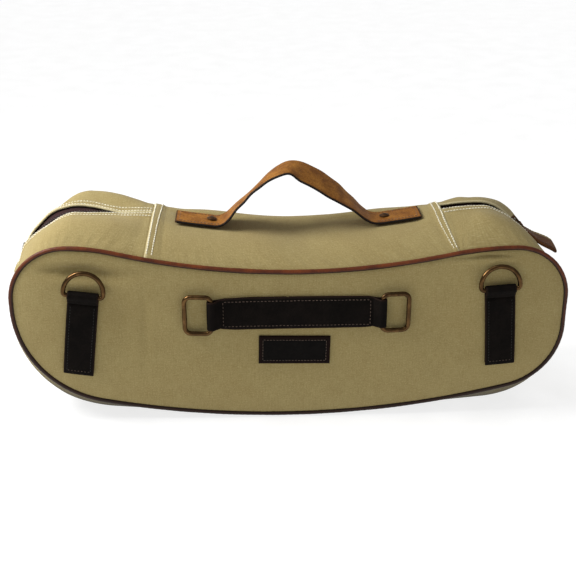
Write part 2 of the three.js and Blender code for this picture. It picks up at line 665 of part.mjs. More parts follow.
add("label_patch", patch(faceFrame(1.9, 76.7, 1.2), -34, 34, -14.4, 14.4, 6, 2, PATCH_GAP, PATCH_GAP + 2), darkLeather);

export default bag;
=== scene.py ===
# The looks of a kidney-shaped canvas carry bag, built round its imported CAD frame.
# Lengths are millimetres until a mesh is made, where MM turns them into the frame's metres.
# +X is to the right along the bag, +Y to the back, +Z up. A side is -1 for the front and 1 for the back.
import math

import bmesh
import bpy
import numpy as np
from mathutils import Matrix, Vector


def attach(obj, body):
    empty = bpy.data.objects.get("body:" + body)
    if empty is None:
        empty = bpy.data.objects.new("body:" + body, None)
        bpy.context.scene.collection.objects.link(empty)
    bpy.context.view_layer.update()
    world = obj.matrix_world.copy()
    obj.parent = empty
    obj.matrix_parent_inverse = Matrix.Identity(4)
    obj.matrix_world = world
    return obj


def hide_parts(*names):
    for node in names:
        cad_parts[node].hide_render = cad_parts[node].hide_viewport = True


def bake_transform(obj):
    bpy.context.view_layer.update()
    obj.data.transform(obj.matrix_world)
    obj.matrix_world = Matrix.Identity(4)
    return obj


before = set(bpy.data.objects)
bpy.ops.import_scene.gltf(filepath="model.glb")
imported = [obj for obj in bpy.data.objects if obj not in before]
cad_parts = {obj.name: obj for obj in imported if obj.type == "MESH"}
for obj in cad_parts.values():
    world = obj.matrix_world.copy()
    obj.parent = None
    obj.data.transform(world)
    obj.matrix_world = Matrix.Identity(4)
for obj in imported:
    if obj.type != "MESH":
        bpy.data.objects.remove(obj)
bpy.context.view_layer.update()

MM = 0.001
FULL_TURN = 2 * math.pi

# Shell, as in the CAD
HALF_DEPTH = 65
CANVAS = 1.5
PANEL_THICKNESS = 3
FACE_PUFF = 8
PUFF_REACH = 20
PIPING_RADIUS = 2.3
SWELL_FROM = 0.14
SWELL_RIGHT = (3, -2.5)  # front half, back half
SWELL_LEFT = (3, 11)
SLIT_HALF = 8.5

# Outlines: x and z of each arc's centre, its radius, and where a corner arc ends
RIM = {
    "dip": (5.7, 154.2, 712),
    "right": (213, 124.3, 51, 45),
    "left": (-212.8, 128.3, 52.9, 135),
    "side_right": 264,
    "side_left": -265.7,
    "lower_right": 66,
    "lower_left": 101,
    "bottom": (-3.3, 2.8, 890),
    "shoulder": None,
}
RIM_BACK = {**RIM, "right": (204, 122, 50, 45), "side_right": 254}  # drawn in at the right
CROWN = {
    "dip": (5.7, 176.2, 690),
    "right": (183, 142.8, 55.4, 34),
    "left": (-203, 138.1, 60.3, 163),
    "side_right": 270.5,
    "side_left": -272.5,
    "lower_right": 92,
    "lower_left": 106,
    "bottom": (0, -8, 6000),
    "shoulder": 110,
}
SEAM_LEFT = (-138.5, -134)  # x of the cross seam on the rim and on the crown
SEAM_RIGHT = (158.5, 150)
HALVES = {"front": -1, "back": 1}

# Camera
CAMERA_AIM = (-4, -65, 138)
CAMERA_DISTANCE = 1000
CAMERA_AZIMUTH = -2.5
CAMERA_ELEVATION = 22.9
CAMERA_LENS = 65.79


# ---------------------------------------------------------------- small maths
def smooth(x, low, high):
    t = np.clip((np.asarray(x, float) - low) / (high - low), 0, 1)
    return t * t * (3 - 2 * t)


def bell(x, middle, width):
    return np.exp(-(((np.asarray(x, float) - middle) / width) ** 2))


def unit(v):
    return v / np.maximum(np.linalg.norm(v, axis=-1, keepdims=True), 1e-9)


def stack(*parts):
    """Values side by side along a new last axis."""
    return np.stack(np.broadcast_arrays(*parts), axis=-1)


def ripple(a, b, size, seed):
    """A smooth random field of about -1 to 1 over two coordinates in millimetres."""
    random = np.random.RandomState(seed)
    waves = 7
    total = np.zeros(np.broadcast(a, b).shape)
    for _ in range(waves):
        turn = random.uniform(0, FULL_TURN)
        rate = random.uniform(0.6, 1.6) * FULL_TURN / size
        phase = random.uniform(0, FULL_TURN)
        total = total + np.sin(rate * (a * math.cos(turn) + b * math.sin(turn)) + phase)
    return total / math.sqrt(waves * 2)


def lengths_along(points):
    steps = np.linalg.norm(np.diff(points, axis=0), axis=1)
    return np.concatenate([[0], np.cumsum(steps)])


def pick(wanted, at, rows):
    """The rows that belong to the places at, read off at the wanted places."""
    return np.stack([np.interp(wanted, at, column) for column in np.transpose(rows)], axis=-1)


def resample(points, count):
    at = lengths_along(points)
    return pick(np.linspace(0, at[-1], count), at, points)


def round_turn(count):
    return np.linspace(0, FULL_TURN, count, endpoint=False)


# ---------------------------------------------------------------- outlines, clockwise from the top's middle
SAMPLES = 160  # table entries along each curve of an outline


def arc(x, z, radius, start, end):
    def at(t):
        a = np.radians(start + (end - start) * t)
        return stack(x + radius * np.cos(a), z + radius * np.sin(a))

    return at


def bezier(*points):
    def at(t):
        t = np.asarray(t)[..., None]
        a, b, c, d = (np.asarray(p, float) for p in points)
        return a * (1 - t) ** 3 + 3 * b * t * (1 - t) ** 2 + 3 * c * t**2 * (1 - t) + d * t**3

    return at


def straight(start, end):
    start, end = np.asarray(start, float), np.asarray(end, float)
    return lambda t: start + (end - start) * np.asarray(t)[..., None]


def backwards(curve):
    return lambda t: curve(1 - np.asarray(t))


def rounded_box(low, high, radius, steps, first=0):
    """A rectangle's outline with round corners, from one of its corners on, anticlockwise."""
    (x0, z0), (x1, z1) = low, high
    centres = [(x0 + radius, z0 + radius), (x1 - radius, z0 + radius), (x1 - radius, z1 - radius),
               (x0 + radius, z1 - radius)]
    turn = np.linspace(0, 1, steps)
    order = range(first, first + 4)
    corners = [arc(*centres[i % 4], radius, 180 + 90 * i, 270 + 90 * i)(turn) for i in order]
    return np.vstack([*corners, corners[0][:1]])


def top_join(dip, corner):
    """Radius and angle of the convex arc between the dip and a corner's top."""
    across = abs(corner[0] - dip[0])
    rise = corner[1] + corner[2] - dip[1]
    radius = (across**2 - 2 * dip[2] * rise + rise**2) / (2 * rise)
    return radius, math.degrees(math.asin(across / (radius + dip[2])))


def lower_corner(side, radius, bottom):
    """Centre and angle of the corner circle that touches the side and the bottom arc."""
    x = side - math.copysign(radius, side)
    reach = bottom[2] - radius
    z = bottom[1] + bottom[2] - math.sqrt(reach**2 - (x - bottom[0]) ** 2)
    return x, z, math.degrees(math.asin((x - bottom[0]) / reach))


def side_corner(corner, side, shoulder):
    x, z, radius, to = corner
    if shoulder is None:
        return arc(x, z, radius, to, 0 if side > 0 else 180)
    start = arc(x, z, radius, 90, to)(np.array(1.0))
    slope = math.radians(to) - math.copysign(math.pi / 2, side)
    away = start + 14 * np.array([math.cos(slope), math.sin(slope)])
    return bezier(start, away, (side, shoulder + 30), (side, shoulder))


def half_outline(o, name, sign):
    """The curves from the top's middle down to the bottom arc, and the angle where that arc begins."""
    dip, corner, side, lower = o["dip"], o[name], o[f"side_{name}"], o[f"lower_{name}"]
    radius, turn = top_join(dip, corner)
    low_x, low_z, low_turn = lower_corner(side, lower, o["bottom"])
    curves = [
        arc(dip[0], dip[1] + dip[2], dip[2], -90, -90 + sign * turn),
        arc(corner[0], corner[1] + corner[2] - radius, radius, 90 + sign * turn, 90),
        arc(*corner[:3], 90, corner[3]),
        side_corner(corner, side, o["shoulder"]),
        straight((side, o["shoulder"] or corner[1]), (side, low_z)),
        arc(low_x, low_z, lower, 0 if sign > 0 else -180, -90 + low_turn),
    ]
    return curves, -90 + low_turn


class Outline:
    """A closed outline as a table over the parameter u, one unit for each of its curves."""

    def __init__(self, o):
        right, right_low = half_outline(o, "right", 1)
        left, left_low = half_outline(o, "left", -1)
        x, z, radius = o["bottom"]
        curves = [*right, arc(x, z + radius, radius, right_low, left_low), *map(backwards, left[::-1])]
        t = np.linspace(0, 1, SAMPLES, endpoint=False)
        points = np.concatenate([curve(t) for curve in curves])
        self.points = np.vstack([points, points[:1]])
        self.count = len(curves)
        self.u = np.arange(len(self.points)) / SAMPLES

    def at(self, u):
        return pick(np.mod(u, self.count), self.u, self.points)

    def top_parameter(self, x):
        """The parameter from -2 to 2 where the top has this x."""
        u = np.linspace(-2, 2, 4001)
        return float(np.interp(x, self.at(u)[:, 0], u))


rim = Outline(RIM)
rim_back = Outline(RIM_BACK)
crown = Outline(CROWN)
RIMS = {-1: rim, 1: rim_back}

# Stations round the gusset, clockwise from the left cross seam
LOWER_STATIONS = [2, 3, 3.5, 4, 5, 6, 7, 8, 9, 9.5, 10, 11]
TOP = (0, 1)
RIGHT_ZIP = (1, 4)
BOTTOM = (4, 11)
LEFT_ZIP = (11, 14)


def stations(outline, line):
    """The parameter of each station on an outline; line is 0 on a rim and 1 on the crown."""
    ends = [outline.top_parameter(seam[line]) for seam in (SEAM_LEFT, SEAM_RIGHT)]
    return np.array(ends + LOWER_STATIONS + [outline.count + ends[0]])


GUSSET_LINES = [(outline, stations(outline, line)) for outline, line in ((rim, 0), (rim_back, 0), (crown, 1))]


def skin(s, v):
    i = np.clip(np.floor(s).astype(int), 0, len(LOWER_STATIONS) + 1)
    front, back, middle = (
        outline.at(values[i] + (values[i + 1] - values[i]) * (s - i)) for outline, values in GUSSET_LINES
    )
    edge = np.where((v > 0)[..., None], back, front)
    return edge + (middle - edge) * (1 - np.abs(v) ** 3)[..., None]


def swelling(s, v):
    on_right = smooth(s, 1, 2.2) * (1 - smooth(s, 2.5, 4))
    on_left = smooth(s, np.where(v < 0, 12.3, 12.5), 13.1) * (1 - smooth(s, np.where(v < 0, 13.4, 13.05), 14))
    half = np.where(v < 0, 0, 1)
    amount = np.take(SWELL_RIGHT, half) * on_right + np.take(SWELL_LEFT, half) * on_left
    across = np.maximum(np.abs(v) - SWELL_FROM, 0) / (1 - SWELL_FROM)
    return amount * np.sin(math.pi * across) ** 2


def gusset(s, y, depth):
    """Points at a depth under the gusset's skin, s stations round and y across."""
    s, y, depth = (np.asarray(part, float) for part in np.broadcast_arrays(s, y, depth))
    v = np.clip(y / HALF_DEPTH, -1, 1)
    here = skin(s, v)
    ahead = unit(skin(s + 0.004, v) - skin(s - 0.004, v))
    out_x, out_z = -ahead[..., 1], ahead[..., 0]
    swell = swelling(s, v)
    z = np.maximum(here[..., 1] + out_z * swell, 0)
    return stack(here[..., 0] + out_x * (swell - depth), y, np.maximum(z - out_z * depth, 0))


def gusset_normal(s, y):
    step = 0.5
    along = gusset(s + 0.002, y, 0) - gusset(s - 0.002, y, 0)
    across = gusset(s, y + step, 0) - gusset(s, y - step, 0)
    return unit(np.cross(along, across))


def spaced_stations(span, step, overlap=(0, 0)):
    """Stations at even distances along the middle line, with how far each is from the span's start."""
    s = np.linspace(*span, 1500)
    at = lengths_along(gusset(s, 0, 0))
    count = int(round(at[-1] / step)) + 1
    wanted = np.linspace(-overlap[0], at[-1] + overlap[1], count)
    before = span[0] + np.minimum(wanted, 0) * (s[1] - s[0]) / (at[1] - at[0])
    after = span[1] + np.maximum(wanted - at[-1], 0) * (s[-1] - s[-2]) / (at[-1] - at[-2])
    inside = np.interp(wanted, at, s)
    return np.where(wanted < 0, before, np.where(wanted > at[-1], after, inside)), wanted, at[-1]


def station_rate(first, last):
    """Stations for each millimetre between two stations on the middle line."""
    return (last - first) / float(np.linalg.norm(gusset(last, 0, 0) - gusset(first, 0, 0)))


# ---------------------------------------------------------------- the faces' shape
def from_rim(x, z, side=-1):
    """Distance from the piping's line."""
    nearest = np.full(np.shape(x), 1e9)
    for px, pz in RIMS[side].points:
        nearest = np.minimum(nearest, (x - px) ** 2 + (z - pz) ** 2)
    return np.sqrt(nearest)


def puff(rim_distance):
    return FACE_PUFF * (1 - np.exp(-rim_distance / PUFF_REACH))


def creases(x, z):
    """The filled canvas's own relief: pressed-in folds under the piping and slow hollows."""
    left_fold = -11 * bell(z - 158.5 + 0.08 * (x + 200), 0, 5) * bell(x, -203, 26)
    left_tail = -3 * bell(z - 155.5, 0, 5) * bell(x, -163, 30)
    right_line = -19 * bell(z - 167.5 + ((x - 184) / 30) ** 2 * 1.6, 0, 1.8) * bell(x, 182, 21)
    right_lip = 1.6 * bell(z - 162, 0, 4.5) * bell(x, 184, 26)
    post = -1.4 * bell(x + 141 - 0.05 * (z - 90), 0, 3.2) * bell(z, 90, 40)
    sag = -1.3 * bell(x, 20, 90) * bell(z, 142, 13)
    low_fold = -1.1 * bell(z - 33 - 0.02 * x, 0, 8) * bell(x, -120, 60)
    return left_fold + left_tail + right_line + right_lip + post + sag + low_fold


def face_height(x, z, side=-1):
    """How far the face's outer side stands out from the plane through the piping."""
    away = from_rim(x, z, side)
    held = 1 - np.exp(-((away / 13) ** 2))
    slow = 0.45 * ripple(x, z, 150, 11 + side) + 0.16 * ripple(x, z, 42, 31 + side)
    fold = creases(x, z) if side < 0 else 0.3 * creases(-x, z)
    return puff(away) + held * (slow - 0.35 + fold)


def on_face(x, z, height, held=0.0, fixed=0.0):
    """Points out from the front face. Where held is 1, they are measured from a fixed height instead."""
    base = face_height(x, z) * (1 - held) + fixed * held
    return stack(x, -HALF_DEPTH - base - height, z)


# ---------------------------------------------------------------- meshes
def lattice(rows, columns, close_rows=False, close_columns=False):
    """The four-cornered faces between neighbouring points of a lattice."""
    index = np.arange(rows * columns).reshape(rows, columns)
    if close_rows:
        index = np.vstack([index, index[:1]])
    if close_columns:
        index = np.hstack([index, index[:, :1]])
    return stack(index[:-1, :-1], index[1:, :-1], index[1:, 1:], index[:-1, 1:]).reshape(-1, 4).tolist()


def make(name, points, faces, material, body="bag", replaces=(), slot=None, uv=None, edge=None, merge=False):
    """A smooth mesh from points in millimetres. uv is in millimetres too; edge marks edge wear, folded edges,
    painted shade and painted highlights.
    """
    mesh = bpy.data.meshes.new(name)
    mesh.from_pydata((np.reshape(points, (-1, 3)) * MM).tolist(), [], faces)
    if uv is not None:
        corner = np.zeros(len(mesh.loops), int)
        mesh.loops.foreach_get("vertex_index", corner)
        layer = mesh.uv_layers.new(name="Cloth")
        layer.data.foreach_set("uv", (np.reshape(uv, (-1, 2))[corner] * MM).ravel())
    if edge is not None:
        mark = mesh.attributes.new("edge", "FLOAT", "POINT")
        mark.data.foreach_set("value", np.asarray(edge, np.float32).ravel())
    work = bmesh.new()
    work.from_mesh(mesh)
    if merge:
        bmesh.ops.remove_doubles(work, verts=work.verts, dist=1e-6)
    bmesh.ops.dissolve_degenerate(work, edges=work.edges, dist=1e-8)
    bmesh.ops.recalc_face_normals(work, faces=work.faces)
    work.to_mesh(mesh)
    work.free()
    mesh.polygons.foreach_set("use_smooth", [True] * len(mesh.polygons))
    mesh.materials.append(material)
    mesh.update()
    piece = bpy.data.objects.new(name, mesh)
    bpy.context.scene.collection.objects.link(piece)
    if body:
        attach(piece, body)
    if replaces:
        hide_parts(*replaces)
    return piece


def softened(outer, inner, axis):
    """The two skins with one more row at both ends of an axis, drawn together to round the edge off."""

    def end(last, before):
        a, b = (np.take(grid, [last], axis=axis) for grid in (outer, inner))
        beside = np.take(outer, [before], axis=axis)
        gap = b - a
        away = unit(a - beside) * np.linalg.norm(gap, axis=-1, keepdims=True) * 0.32
        return a + away + gap * 0.28, b + away - gap * 0.28

    ends = zip(end(0, 1), (outer, inner), end(-1, -2))
    return [np.concatenate(part, axis=axis) for part in ends]


def sheet(name, outer, inner, material, uv, edge=None, rounding=(0, 1), **facts):
    """A closed sheet between an outer and an inner skin, each rows x columns of points."""
    edge = np.zeros(outer.shape[:2]) if edge is None else edge
    for axis in rounding:
        outer, inner = softened(outer, inner, axis)
        pad = [(1, 1) if axis == a else (0, 0) for a in (0, 1)]
        uv = np.pad(uv, pad + [(0, 0)], mode="edge")
        edge = np.pad(edge, pad, mode="edge")
    rows, columns = outer.shape[:2]
    both = lambda first, second: np.concatenate([first, second[:, ::-1]], axis=1)
    faces = lattice(rows, 2 * columns, close_columns=True)
    for row in (0, rows - 1):
        base = row * 2 * columns
        for j in range(columns - 1):
            faces.append((base + j, base + j + 1, base + 2 * columns - 2 - j, base + 2 * columns - 1 - j))
    return make(name, both(outer, inner), faces, material, uv=both(uv, uv), edge=both(edge, edge), **facts)


def tube(name, path, side, radius, material, sides, edge=None, **facts):
    """A round bar along a closed flat path. side is the direction square to the path's plane."""
    along = unit(np.roll(path, -1, axis=0) - np.roll(path, 1, axis=0))
    out = unit(np.cross(along, side))
    turn = round_turn(sides)[:, None]
    radius = np.broadcast_to(radius, len(path))[:, None, None]
    points = path[:, None] + (out[:, None] * np.cos(turn) + side * np.sin(turn)) * radius
    uv = stack(lengths_along(path)[:, None], turn[:, 0] * np.mean(radius))
    faces = lattice(len(path), sides, close_rows=True, close_columns=True)
    return make(name, points, faces, material, uv=uv, edge=edge, **facts)


def capsules(name, middles, along, up, length, radius, material, sink=0.25, **facts):
    """Many small rounded bars in one mesh: stitches and zip teeth. Their ends may sink into the cloth."""
    rings = np.array([-1, -0.86, -0.5, 0, 0.5, 0.86, 1])[:, None]
    girth = np.array([0.25, 0.72, 1, 1, 1, 0.72, 0.25])[:, None] * radius
    sides = 6
    turn = round_turn(sides)
    along = unit(along)
    up = unit(up - along * np.sum(up * along, axis=-1, keepdims=True))
    reaches = (
        (along, rings * length / 2),
        (up, girth * np.sin(turn) - sink * rings**4),
        (np.cross(along, up), girth * np.cos(turn)),
    )
    points = middles[:, None, None] + sum(way[:, None, None] * reach[..., None] for way, reach in reaches)
    size = rings.size * sides
    one = lattice(rings.size, sides, close_columns=True) + [range(sides), range(size - sides, size)]
    faces = [tuple(i + n * size for i in face) for n in range(len(middles)) for face in one]
    return make(name, points, faces, material, **facts)


class Stitching:
    """Collects rows of stitches that one mesh then holds."""

    WANDER = 0.12
    SLANT = 0.09

    def __init__(self):
        self.rows = []

    def row(self, line, up, pitch, seed=0):
        """Stitches along a line of points, with the cloth's direction outward at each."""
        random = np.random.RandomState(seed + len(line))
        at = lengths_along(line)
        count = max(int(at[-1] / pitch), 1)
        wanted = (np.arange(count) + 0.5) * at[-1] / count
        ahead = pick(wanted + pitch / 3, at, line) - pick(wanted - pitch / 3, at, line)
        normal = unit(pick(wanted, at, np.broadcast_to(up, line.shape)))
        sideways = unit(np.cross(ahead, normal))
        wander, slant = (random.uniform(-most, most, count)[:, None] for most in (self.WANDER, self.SLANT))
        self.rows.append((pick(wanted, at, line) + sideways * wander, unit(ahead) + sideways * slant, normal))

    def build(self, name, length, radius, material, **facts):
        joined = [np.concatenate(part) for part in zip(*self.rows)]
        return capsules(name, *joined, length, radius, material, **facts)


# ---------------------------------------------------------------- materials
def rgb(colour, amount=1.0):
    """A colour given as screen values from 0 to 255, for a shader's linear input."""
    scaled = [c * amount for c in colour]
    return (*(((c / 255 + 0.055) / 1.055) ** 2.4 if c > 10 else c / 255 / 12.92 for c in scaled), 1)


class Finish:
    """A node material. add() makes a node, with its inputs given as values or as other nodes' outputs."""

    def __init__(self, name):
        self.material = bpy.data.materials.new(name)
        self.material.use_nodes = True
        self.tree = self.material.node_tree
        self.shader = self.tree.nodes["Principled BSDF"]

    def fill(self, node, inputs):
        for key, value in inputs.items():
            socket = node.inputs[key.replace("_", " ")]
            if isinstance(value, bpy.types.NodeSocket):
                self.tree.links.new(value, socket)
            else:
                socket.default_value = value

    def add(self, kind, settings=None, **inputs):
        node = self.tree.nodes.new("ShaderNode" + kind)
        for key, value in (settings or {}).items():
            setattr(node, key, value)
        self.fill(node, inputs)
        return node

    def maths(self, operation, *values):
        node = self.add("Math", {"operation": operation})
        for socket, value in zip(node.inputs, values):
            if isinstance(value, bpy.types.NodeSocket):
                self.tree.links.new(value, socket)
            else:
                socket.default_value = value
        return node.outputs[0]

    def coordinates(self, kind="Object"):
        """Coordinates in millimetres."""
        source = self.add("TexCoord").outputs[kind]
        return self.add("VectorMath", {"operation": "SCALE"}, Vector=source, Scale=1 / MM).outputs[0]

    def stretched(self, coordinates, stretch):
        return self.add("Mapping", Scale=stretch, Vector=coordinates).outputs[0]

    def noise(self, at, size, detail=3.0, roughness=0.55):
        """Noise whose features are about size millimetres."""
        node = self.add("TexNoise", Vector=at, Scale=1 / size, Detail=detail, Roughness=roughness)
        return node.outputs["Fac"]

    def wave(self, at, scale, distortion):
        settings = {"bands_direction": "DIAGONAL"}
        return self.add("TexWave", settings, Vector=at, Scale=scale, Distortion=distortion).outputs["Fac"]

    def span(self, value, low, high, to_low, to_high):
        node = self.add("MapRange", Value=value, From_Min=low, From_Max=high, To_Min=to_low, To_Max=to_high)
        return node.outputs[0]

    def layers(self, colour, *layers):
        """A colour under further ones, each given with how much of it shows."""
        for amount, layer in layers:
            colour = self.add("MixRGB", Fac=amount, Color1=colour, Color2=layer).outputs[0]
        return colour

    def mark(self):
        return self.add("Attribute", {"attribute_name": "edge"}).outputs["Fac"]

    def bump(self, height, distance, strength):
        node = self.add("Bump", Height=height, Distance=distance * MM, Strength=strength)
        self.fill(self.shader, {"Normal": node.outputs[0]})

    def finish(self, colour, roughness, **constants):
        self.fill(self.shader, {"Base Color": colour, "Roughness": roughness, **constants})
        return self.material


def canvas_finish(name, wear_and_shade_colour, wear_and_shade_amount, tint=1.0):
    """Plain-woven cotton canvas: warp over weft, thicker threads here and there, slow fading.

    The second argument is the colour of the marked places: pale wear on the folds of the body's canvas, and
    painted shade on the base's underside where it faces the ground. The third is how much of it shows.
    """
    f = Finish(name)
    at = f.coordinates("UV")
    split = f.add("SeparateXYZ", Vector=at)
    rate = math.pi / WEAVE_PITCH
    warp, weft = (f.maths("SINE", f.maths("MULTIPLY", split.outputs[i], rate)) for i in (0, 1))
    weave = f.maths("ABSOLUTE", f.maths("MULTIPLY", warp, weft))
    slubs = f.maths("ADD", *(f.noise(f.stretched(at, way), 1.5, 2) for way in ((0.22, 1, 1), (1, 0.14, 1))))
    fleck = f.noise(at, 1.3, 2)
    colour = f.layers(
        rgb((145, 128, 81), tint),
        (f.span(slubs, 0.7, 1.3, 0, 1), rgb((160, 145, 97), tint)),
        (f.span(f.noise(at, 20, 3), 0.4, 0.7, 0, 0.35), rgb((136, 119, 74), tint)),
        (f.span(f.noise(at, 70, 4), 0.35, 0.7, 0, 0.35), rgb((146, 126, 78), tint)),
        (f.span(weave, 0, 0.5, 0.2, 0), rgb((104, 88, 52))),
        (f.span(fleck, 0.5, 0.75, 0, 0.5), rgb((182, 168, 122), tint)),
        (f.maths("MULTIPLY", f.mark(), wear_and_shade_amount), rgb(wear_and_shade_colour)),
    )
    f.bump(f.maths("ADD", f.maths("MULTIPLY", weave, 0.6), f.maths("MULTIPLY", slubs, 0.35)), 0.24, 0.75)
    roughness = f.span(fleck, 0.3, 0.7, 0.82, 0.95)
    return f.finish(colour, roughness, Sheen_Weight=0.08, Sheen_Roughness=0.5, Specular_IOR_Level=0.2)


def leather_finish(name, low, high, edge_wear_and_painted_light, grain, depth, roughness, patch, specular):
    """Leather with pores, creases, cloudy dye and an edge of another tone."""
    f = Finish(name)
    at = f.coordinates()
    fine = f.noise(at, 1.6, 4, 0.6)
    pores = f.add("TexVoronoi", {"feature": "SMOOTH_F1"}, Vector=at, Scale=1 / grain).outputs[0]
    colour = f.layers(
        rgb(low),
        (f.span(f.noise(at, patch, 5, 0.6), 0.36, 0.64, 0, 1), rgb(high)),
        (f.span(fine, 0.42, 0.7, 0, 0.4), rgb(low, 0.62)),
        (f.span(pores, 0.2, 0.6, 0.3, 0), rgb(low, 0.5)),
        (f.mark(), rgb(edge_wear_and_painted_light)),
    )
    creased = f.noise(f.stretched(at, (0.35, 1, 1)), 4, 3)
    f.bump(f.maths("ADD", f.maths("MULTIPLY", pores, 0.5), f.maths("ADD", fine, creased)), depth, 0.8)
    return f.finish(colour, f.span(fine, 0.3, 0.7, *roughness), Specular_IOR_Level=specular)


def brass_finish(name, base, bright, dark, roughness):
    """Plated metal, darkened in patches and rubbed bright in others."""
    f = Finish(name)
    at = f.coordinates()
    patina = f.noise(at, 16, 4, 0.5)
    rub = f.noise(at, 5, 3, 0.5)
    colour = f.layers(
        rgb(base),
        (f.span(patina, 0.35, 0.65, 0, 1), rgb(dark)),
        (f.span(rub, 0.5, 0.75, 0, 0.5), rgb(bright)),
    )
    scratch = f.noise(f.stretched(at, (0.2, 1, 1)), 0.5, 3)
    f.bump(f.maths("ADD", rub, f.maths("MULTIPLY", scratch, 0.5)), 0.02, 0.4)
    return f.finish(colour, f.span(patina, 0.3, 0.7, *roughness), Metallic=1.0)


def tape_finish(name, low, high):
    """Zip tape and edge binding: a fine herringbone in wound yarn."""
    f = Finish(name)
    at = f.coordinates()
    rib = f.wave(at, 0.26, 1.2)
    lint = f.noise(at, 1.2, 3)
    colour = f.layers(
        rgb(low), (f.span(lint, 0.35, 0.7, 0, 1), rgb(high)), (f.span(rib, 0, 0.5, 0.4, 0), rgb(low, 0.5))
    )
    f.bump(f.maths("ADD", rib, lint), 0.2, 0.7)
    return f.finish(colour, f.span(lint, 0.3, 0.7, 0.75, 0.95), Specular_IOR_Level=0.2)


def thread_finish(name, low, high, sheen=0.3):
    """Twisted thread."""
    f = Finish(name)
    at = f.coordinates()
    ply = f.wave(at, 0.5, 0.5)
    colour = f.layers(rgb(high), (f.span(f.noise(at, 9, 4), 0.35, 0.68, 0, 1), rgb(low)))
    f.bump(ply, 0.15, 0.8)
    return f.finish(colour, f.span(ply, 0, 1, 0.6, 0.85), Sheen_Weight=sheen)


def plastic_finish(name, low, high):
    """Moulded zip teeth, dusty between."""
    f = Finish(name)
    dust = f.noise(f.coordinates(), 2.5, 4)
    f.bump(dust, 0.05, 0.5)
    colour = f.layers(rgb(low), (f.span(dust, 0.4, 0.7, 0, 1), rgb(high)))
    return f.finish(colour, f.span(dust, 0.3, 0.7, 0.3, 0.6))


WEAVE_PITCH = 0.85
canvas = canvas_finish("khaki_canvas", (214, 203, 164), 0.6)
# The base's canvas: a touch darker all over, with painted shade where it faces the ground.
canvas_base = canvas_finish("khaki_canvas_base", (58, 54, 42), 0.95, 0.93)
# Low, high and edge colours, pore size, bump depth, roughness, size of the dye's patches, specular; the edge
# colour is edge wear, but painted shade on the piping and a painted highlight on the tab
LEATHERS = {
    "piping_leather": ((82, 33, 7), (112, 52, 15), (24, 11, 3), 0.7, 0.07, (0.38, 0.55), 14, 0.25),
    "tan_leather": ((122, 73, 21), (166, 110, 40), (22, 13, 7), 0.8, 0.2, (0.55, 0.8), 12, 0.2),
    # The tab's low and high colours are the handle's leather darkened as painted shade, for its face turned
    # from the light.
    "tab_leather_painted_light": ((76, 42, 10), (106, 64, 20), (176, 156, 104), 0.8, 0.18, (0.55, 0.8), 9, 0.2),
    "dark_leather": ((11, 8, 6), (20, 15, 12), (34, 22, 17), 0.9, 0.12, (0.6, 0.82), 14, 0.05),
    "label_leather": ((9, 7, 6), (16, 13, 11), (22, 10, 7), 0.8, 0.1, (0.5, 0.72), 14, 0.05),
}
leather = {name: leather_finish(name, *values) for name, values in LEATHERS.items()}
brass = brass_finish("antique_brass", (88, 65, 39), (128, 96, 60), (62, 45, 28), (0.14, 0.26))
rivet_brass = brass_finish("rivet_brass", (92, 66, 42), (140, 104, 70), (50, 34, 24), (0.4, 0.65))
zip_tape = tape_finish("zip_tape", (44, 26, 26), (62, 40, 38))
binding = tape_finish("seam_binding", (120, 104, 70), (150, 132, 92))
teeth = plastic_finish("zip_teeth", (34, 22, 22), (58, 42, 38))
cream_thread = thread_finish("cream_thread", (212, 202, 168), (246, 242, 224))
tan_thread = thread_finish("tan_thread", (52, 38, 29), (80, 62, 48), 0)
dark_thread = thread_finish("dark_thread", (60, 36, 20), (92, 58, 32))
black_thread = thread_finish("black_thread", (8, 7, 6), (18, 15, 13), 0)

# ---------------------------------------------------------------- faces
FACE_COLUMNS = 170  # points along each of the rim's two halves
OUTER_RADII = 0.8 + 0.2 * (1 - (1 - np.linspace(0, 1, 17)[1:]) ** 1.4)  # closer together towards the rim
FACE_RADII = np.concatenate([np.linspace(0, 0.8, 17), OUTER_RADII])
LEFT_END, RIGHT_END = 8.5, 4.5  # the rim's parameters half way up its two ends
TUCKED_IN = 1.2  # how far the face's edge stops short of the piping's line


def face_edge(line):
    """A rim as one loop from its left end over the top, and the spine point that each rim point looks to."""
    half = lambda end: resample(line.at(np.linspace(LEFT_END, end, 3000)), FACE_COLUMNS)
    top, low = half(RIGHT_END + line.count), half(RIGHT_END)
    spine_x = 0.36 * (top[:, 0] + low[:, 0])
    spine = stack(spine_x, 78.6 + 25 * (spine_x / 200) ** 2)
    return np.vstack([top, low[-2:0:-1]]), np.vstack([spine, spine[-2:0:-1]])


def face_panel(half, side):
    """A face: puffed canvas with a lining side, its edge turned in under the piping."""
    edge, spine = face_edge(RIMS[side])
    edge = edge - unit(edge - spine) * TUCKED_IN
    grid = spine[:, None] + (edge - spine)[:, None] * FACE_RADII[:, None]
    x, z = grid[..., 0], grid[..., 1]
    height = face_height(x, z, side)
    round_rim = np.arctan2(z - 90, x / 2.6) * 190
    beside_rim = bell(from_rim(x, z, side), 7, 4)
    pucker = 0.1 * np.sin(2 * FULL_TURN * ripple(x, z, 60, 5) + round_rim / 1.6) * beside_rim
    outer, inner = (stack(x, side * (HALF_DEPTH + height + more), z) for more in (pucker, -PANEL_THICKNESS))
    skins = np.concatenate([outer, inner[:, ::-1]], axis=1)
    faces = lattice(*skins.shape[:2], close_rows=True)
    make(f"{half}_canvas", skins, faces, canvas, replaces=[f"{half}_panel"], slot="canvas",
         uv=skins[..., ::2], merge=True)


# ---------------------------------------------------------------- piping
PIPING_STEPS = 900
PIPING_SIDES = 16


